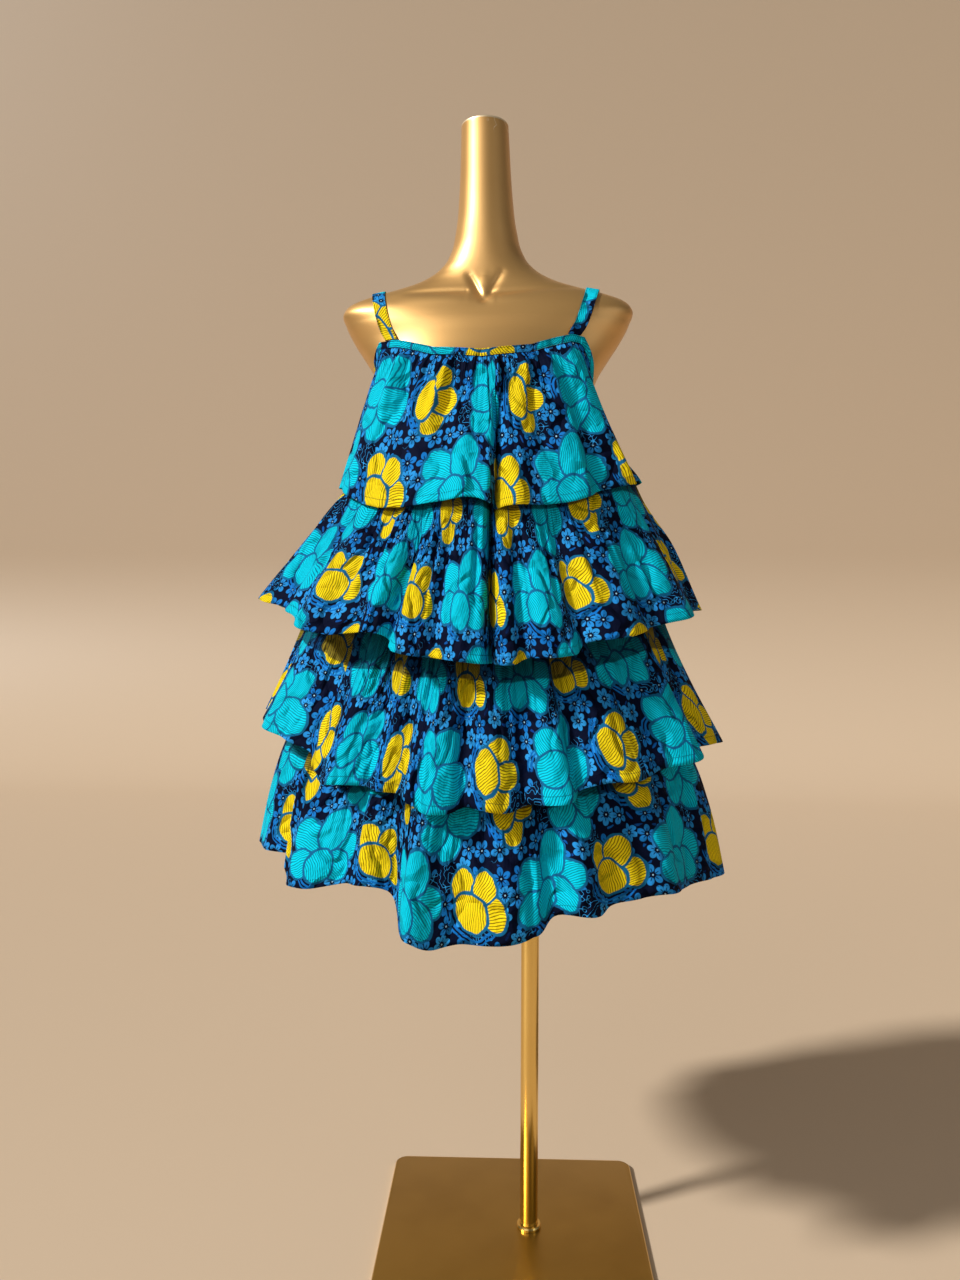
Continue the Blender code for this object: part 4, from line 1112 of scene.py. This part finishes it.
def bloom(paint, colour, at, across, up, kind, turn, size):
    """One large bloom of overlapping petals, each with its outline and fine lines."""
    half = (REPEAT[0] / 2, REPEAT[1] / 2, 1.0)
    centre = paint.vector("SUBTRACT", at, (across, up, 0.0))
    near = paint.vector("WRAP", centre, half, (-half[0], -half[1], -1.0))
    x, y, _ = paint.parts(near)
    x, y = turned(x, y, turn, size, size)
    fill, lines = FILLS[kind]
    petals = PETALS[kind]

    cx, cy, long, wide, lean, _ = petals[-1]
    along, side = turned(x - cx, y - cy, lean, long, wide)
    oval = (along * along + side * side) ** 0.5
    facing = paint.step(along * 0.3 - side, 0.25, 0.5)
    for echo in ECHOES:
        start, end = (1.0 + reach / wide for reach in echo)
        band = paint.step(oval, start, start + 0.03) * (1.0 - paint.step(oval, end, end + 0.03))
        colour = paint.mix(band * facing, colour, FLOWER_BLUE)

    for cx, cy, long, wide, lean, comb in petals:
        dx, dy = x - cx, y - cy
        along, side = turned(dx, dy, lean, long, wide)
        oval = (along * along + side * side) ** 0.5
        run, over = turned(dx, dy, comb)
        stripes = ((run + over * over * LINE_CURVE) * (FULL_TURN / LINE_STEP)).math("SINE")
        hatch = paint.step(stripes, 0.20, 0.80) * LINE_SHARE
        edge = 1.0 + RIM / wide
        colour = paint.mix(1.0 - paint.step(oval, edge - 0.02, edge + 0.03), colour, OUTLINE)
        colour = paint.mix(1.0 - paint.step(oval, 0.98, 1.03), colour, paint.mix(hatch, fill, lines))
    return colour


def cotton():
    """Printed cotton: the print, its creases, the fine pleats under a seam, the weave and the stitches."""
    paint = Paint("printed_cotton", roughness=0.75)
    at = paint.node("ShaderNodeUVMap", {"uv_map": "cloth"})
    u, v, _ = paint.parts(at)
    from_hem, from_top, _ = paint.parts(paint.node("ShaderNodeUVMap", {"uv_map": "edges"}))

    shifted = at
    for scale, far in DRIFTS:
        drift = paint.vector("SUBTRACT", paint.noise(at, scale, 1.0, out=1), (0.5, 0.5, 0.5))
        shifted = paint.vector("MULTIPLY_ADD", drift, (far, far, 0.0), shifted)
    colour = flowers(paint, at)
    for row in BLOOMS:
        colour = bloom(paint, colour, shifted, *row)

    # The row of stitches at the hem, a painted shadow under the band and the hem above, and places where the dye is a
    # little weaker
    stitch = paint.line(from_hem - HEM_FOLD, 0.0003, 0.0008)
    stitch = stitch * paint.step((u * (FULL_TURN / STITCH_STEP)).math("SINE"), -0.6, -0.2)
    colour = paint.mix(stitch * 0.6, colour, NAVY)
    # Painted shadow: a dark navy line just below the band, and just below the hem of the tier above
    under = 1.0 - paint.step(from_top, 0.0004, 0.0030)
    colour = paint.mix(under * 0.75, colour, NAVY)
    fade = 1.0 - paint.step(paint.noise(at, 5.0), 0.35, 0.80) * 0.10
    colour = paint.mix(1.0, colour, paint.grey(fade), "MULTIPLY")

    # Heights in metres
    weave = (u * (FULL_TURN / WEAVE_STEP)).math("SINE") * (v * (FULL_TURN / WEAVE_STEP)).math("SINE")
    crumple = paint.noise(at, 38.0, 3.0)
    crease = abs(paint.noise(at, 16.0, 1.5) - 0.5).math("MINIMUM", 0.07)
    pleats = paint.noise(paint.together(u * 150.0, v * 9.0), 1.0, 1.0)
    gathered = 1.0 - paint.step(from_top, 0.010, 0.085)
    turned_in = paint.step(from_hem, HEM_FOLD, HEM_FOLD + 0.0008)
    height = crumple * 0.0050 + crease * 0.065 + (pleats * gathered) * 0.0060
    height = height + weave * 0.00002 - stitch * 0.0004 - turned_in * 0.0006
    paint.shader.inputs["Specular IOR Level"].default_value = 0.06
    return paint.finish(Base_Color=colour, Roughness=0.70 + crumple * 0.2, Normal=paint.bump(height))


# Pale paint for the scratches near the neck's top, in these heights and distances across, and for the neck's top and
# its rounded edge from these heights up; and a painted highlight along the plate's edges, from this far inside them
SCRATCH_AND_RIM_PAINT = tint(250, 232, 196)
SCRATCHES_UP = (1.472, 1.480)
SCRATCHES_ACROSS = (-0.044, -0.032)
NECK_PALE_BAND = (1.4908, 1.4922)
PLATE_EDGE_HIGHLIGHT = tint(226, 196, 140)
EDGE_FROM = 0.0018
EDGE_FULL = 0.0010


def gold(name, base, dark, roughness, metallic=1.0, coat=0.0, scuffed=False, plate=False):
    """Gold paint or polished brass with a fine grain."""
    paint = Paint(name, metallic=metallic, roughness=roughness)
    at = paint.node("ShaderNodeTexCoord", out=3)
    x, y, z = paint.parts(at)
    cloud = paint.noise(at, 9.0, 3.0)
    grain = paint.noise(at, 900.0, 2.0)
    colour = paint.mix(paint.step(cloud, 0.35, 0.75) * 0.35, base, dark)
    if scuffed:
        scratch = paint.line(paint.noise(at, 70.0, 1.0) - 0.5, 0.010, 0.024)
        scratch = scratch * paint.step(z, *SCRATCHES_UP) * paint.step(x, *SCRATCHES_ACROSS)
        colour = paint.mix(scratch * 0.7, colour, SCRATCH_AND_RIM_PAINT)
        # The neck's top and the upper part of its rounded edge are made paler
        colour = paint.mix(paint.step(z, *NECK_PALE_BAND) * 0.8, colour, SCRATCH_AND_RIM_PAINT)
    # Painted highlight: the plate's edges are made paler, standing in for the light caught on their rounded rims
    if plate:
        x, y = turned(x, y, PLATE_TURN)
        edge = abs(x).math("MAXIMUM", abs(y))
        edge = paint.step(edge, PLATE_SIDE / 2 - EDGE_FROM, PLATE_SIDE / 2 - EDGE_FULL)
        colour = paint.mix(edge, colour, PLATE_EDGE_HIGHLIGHT)
    paint.shader.inputs["Coat Weight"].default_value = coat
    paint.shader.inputs["Coat Roughness"].default_value = 0.30
    return paint.finish(
        Base_Color=colour,
        Roughness=roughness + cloud * 0.06 + grain * 0.04,
        Normal=paint.bump(grain * 0.00004 + cloud * 0.0003, 0.5),
    )


# ---------------------------------------------------------------- camera, floor and light

def camera():
    made = bpy.data.objects.new("camera", bpy.data.cameras.new("camera"))
    bpy.context.scene.collection.objects.link(made)
    made.data.lens = CAMERA_LENS
    made.data.sensor_width = CAMERA_SENSOR
    made.data.shift_y = CAMERA_SHIFT_Y
    made.location = CAMERA_AT
    turn = Matrix.Rotation(math.radians(CAMERA_AZIMUTH), 3, "Z") @ Matrix.Rotation(math.radians(90.0), 3, "X")
    made.rotation_euler = (turn @ Matrix.Rotation(CAMERA_ROLL, 3, "Z")).to_euler()
    bpy.context.scene.camera = made


def lamp(name, kind, towards, power, colour):
    data = bpy.data.lights.new(name, kind)
    data.energy = power
    data.color = colour
    made = bpy.data.objects.new(name, data)
    bpy.context.scene.collection.objects.link(made)
    made.rotation_euler = towards.to_track_quat("-Z", "Y").to_euler()
    return made


def panel(name, at, look_at, size, power, colour):
    """A soft square of light."""
    made = lamp(name, "AREA", Vector(look_at) - Vector(at), power, colour)
    made.location = at
    made.data.shape = "RECTANGLE"
    made.data.size, made.data.size_y = size


def sun(name, towards, spread, power, colour):
    made = lamp(name, "SUN", Vector(towards), power, colour)
    made.data.angle = math.radians(spread)


# Backdrop: half-width, how far it comes to the front, where it starts to curve up, by what radius, how high it goes,
# and how far below the plate it lies
FLOOR_HALF = 9.0
FLOOR_FRONT = (-9.0, -3.0)
CURVE_FROM = 3.2
CURVE_BY = 1.2
CURVE_ROWS = 25
BACKDROP_TOP = 7.0
FLOOR_BELOW = 0.0005


def backdrop(look):
    """A plain floor that curves up far behind."""
    turn = np.radians(np.linspace(0.0, 90.0, CURVE_ROWS))
    depth = np.concatenate([FLOOR_FRONT, CURVE_FROM + CURVE_BY * np.sin(turn), [CURVE_FROM + CURVE_BY]])
    height = np.concatenate([[0.0, 0.0], CURVE_BY * (1.0 - np.cos(turn)), [BACKDROP_TOP]]) - FLOOR_BELOW
    across = np.array([-FLOOR_HALF, 0.0, FLOOR_HALF])
    points = np.stack(np.broadcast_arrays(across[None, :], depth[:, None], height[:, None]), -1)
    made = cloth_grid("backdrop", points)
    made.data.materials.append(look)
    shade(made)


def studio():
    bpy.context.scene.view_settings.view_transform = "Standard"
    paint = Paint("floor_paint", roughness=0.6)
    backdrop(paint.finish(Base_Color=tint(200, 178, 152)))
    world = bpy.data.worlds.new("studio")
    bpy.context.scene.world = world
    world.use_nodes = True
    sky = world.node_tree.nodes["Background"].inputs
    sky["Color"].default_value = tint(226, 225, 222)
    sky["Strength"].default_value = 0.14
    sun("key", (0.90, 0.50, -0.80), 6.0, 3.9, (1.0, 0.98, 0.95))
    panel("fill", (2.2, -1.6, 1.5), (-0.04, 0.0, 0.85), (1.6, 2.0), 8.0, (0.94, 0.97, 1.0))
    panel("front", (-1.0, -1.9, 1.7), (-0.04, 0.0, 1.05), (1.4, 1.7), 13.0, (1.0, 1.0, 1.0))


camera()
PRINTED_COTTON = cotton()
SATIN_GOLD = gold("satin_gold", tint(216, 170, 104), tint(194, 144, 80), 0.40, metallic=0.80, coat=0.35, scuffed=True)
BRIGHT_BRASS = gold("polished_brass", tint(240, 202, 120), tint(220, 178, 92), 0.16)
DARK_BRASS = gold("brushed_brass", tint(170, 138, 68), tint(140, 108, 46), 0.28, plate=True)
ANGLES, FIRST = dress_tiers(PRINTED_COTTON)
dress_bands(PRINTED_COTTON, ANGLES, FIRST)
dress_straps(PRINTED_COTTON, ANGLES, FIRST)
form_skin(SATIN_GOLD)
stand(DARK_BRASS, BRIGHT_BRASS)
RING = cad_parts["pole_ring"].data.materials
RING.clear()
RING.append(BRIGHT_BRASS)
studio()
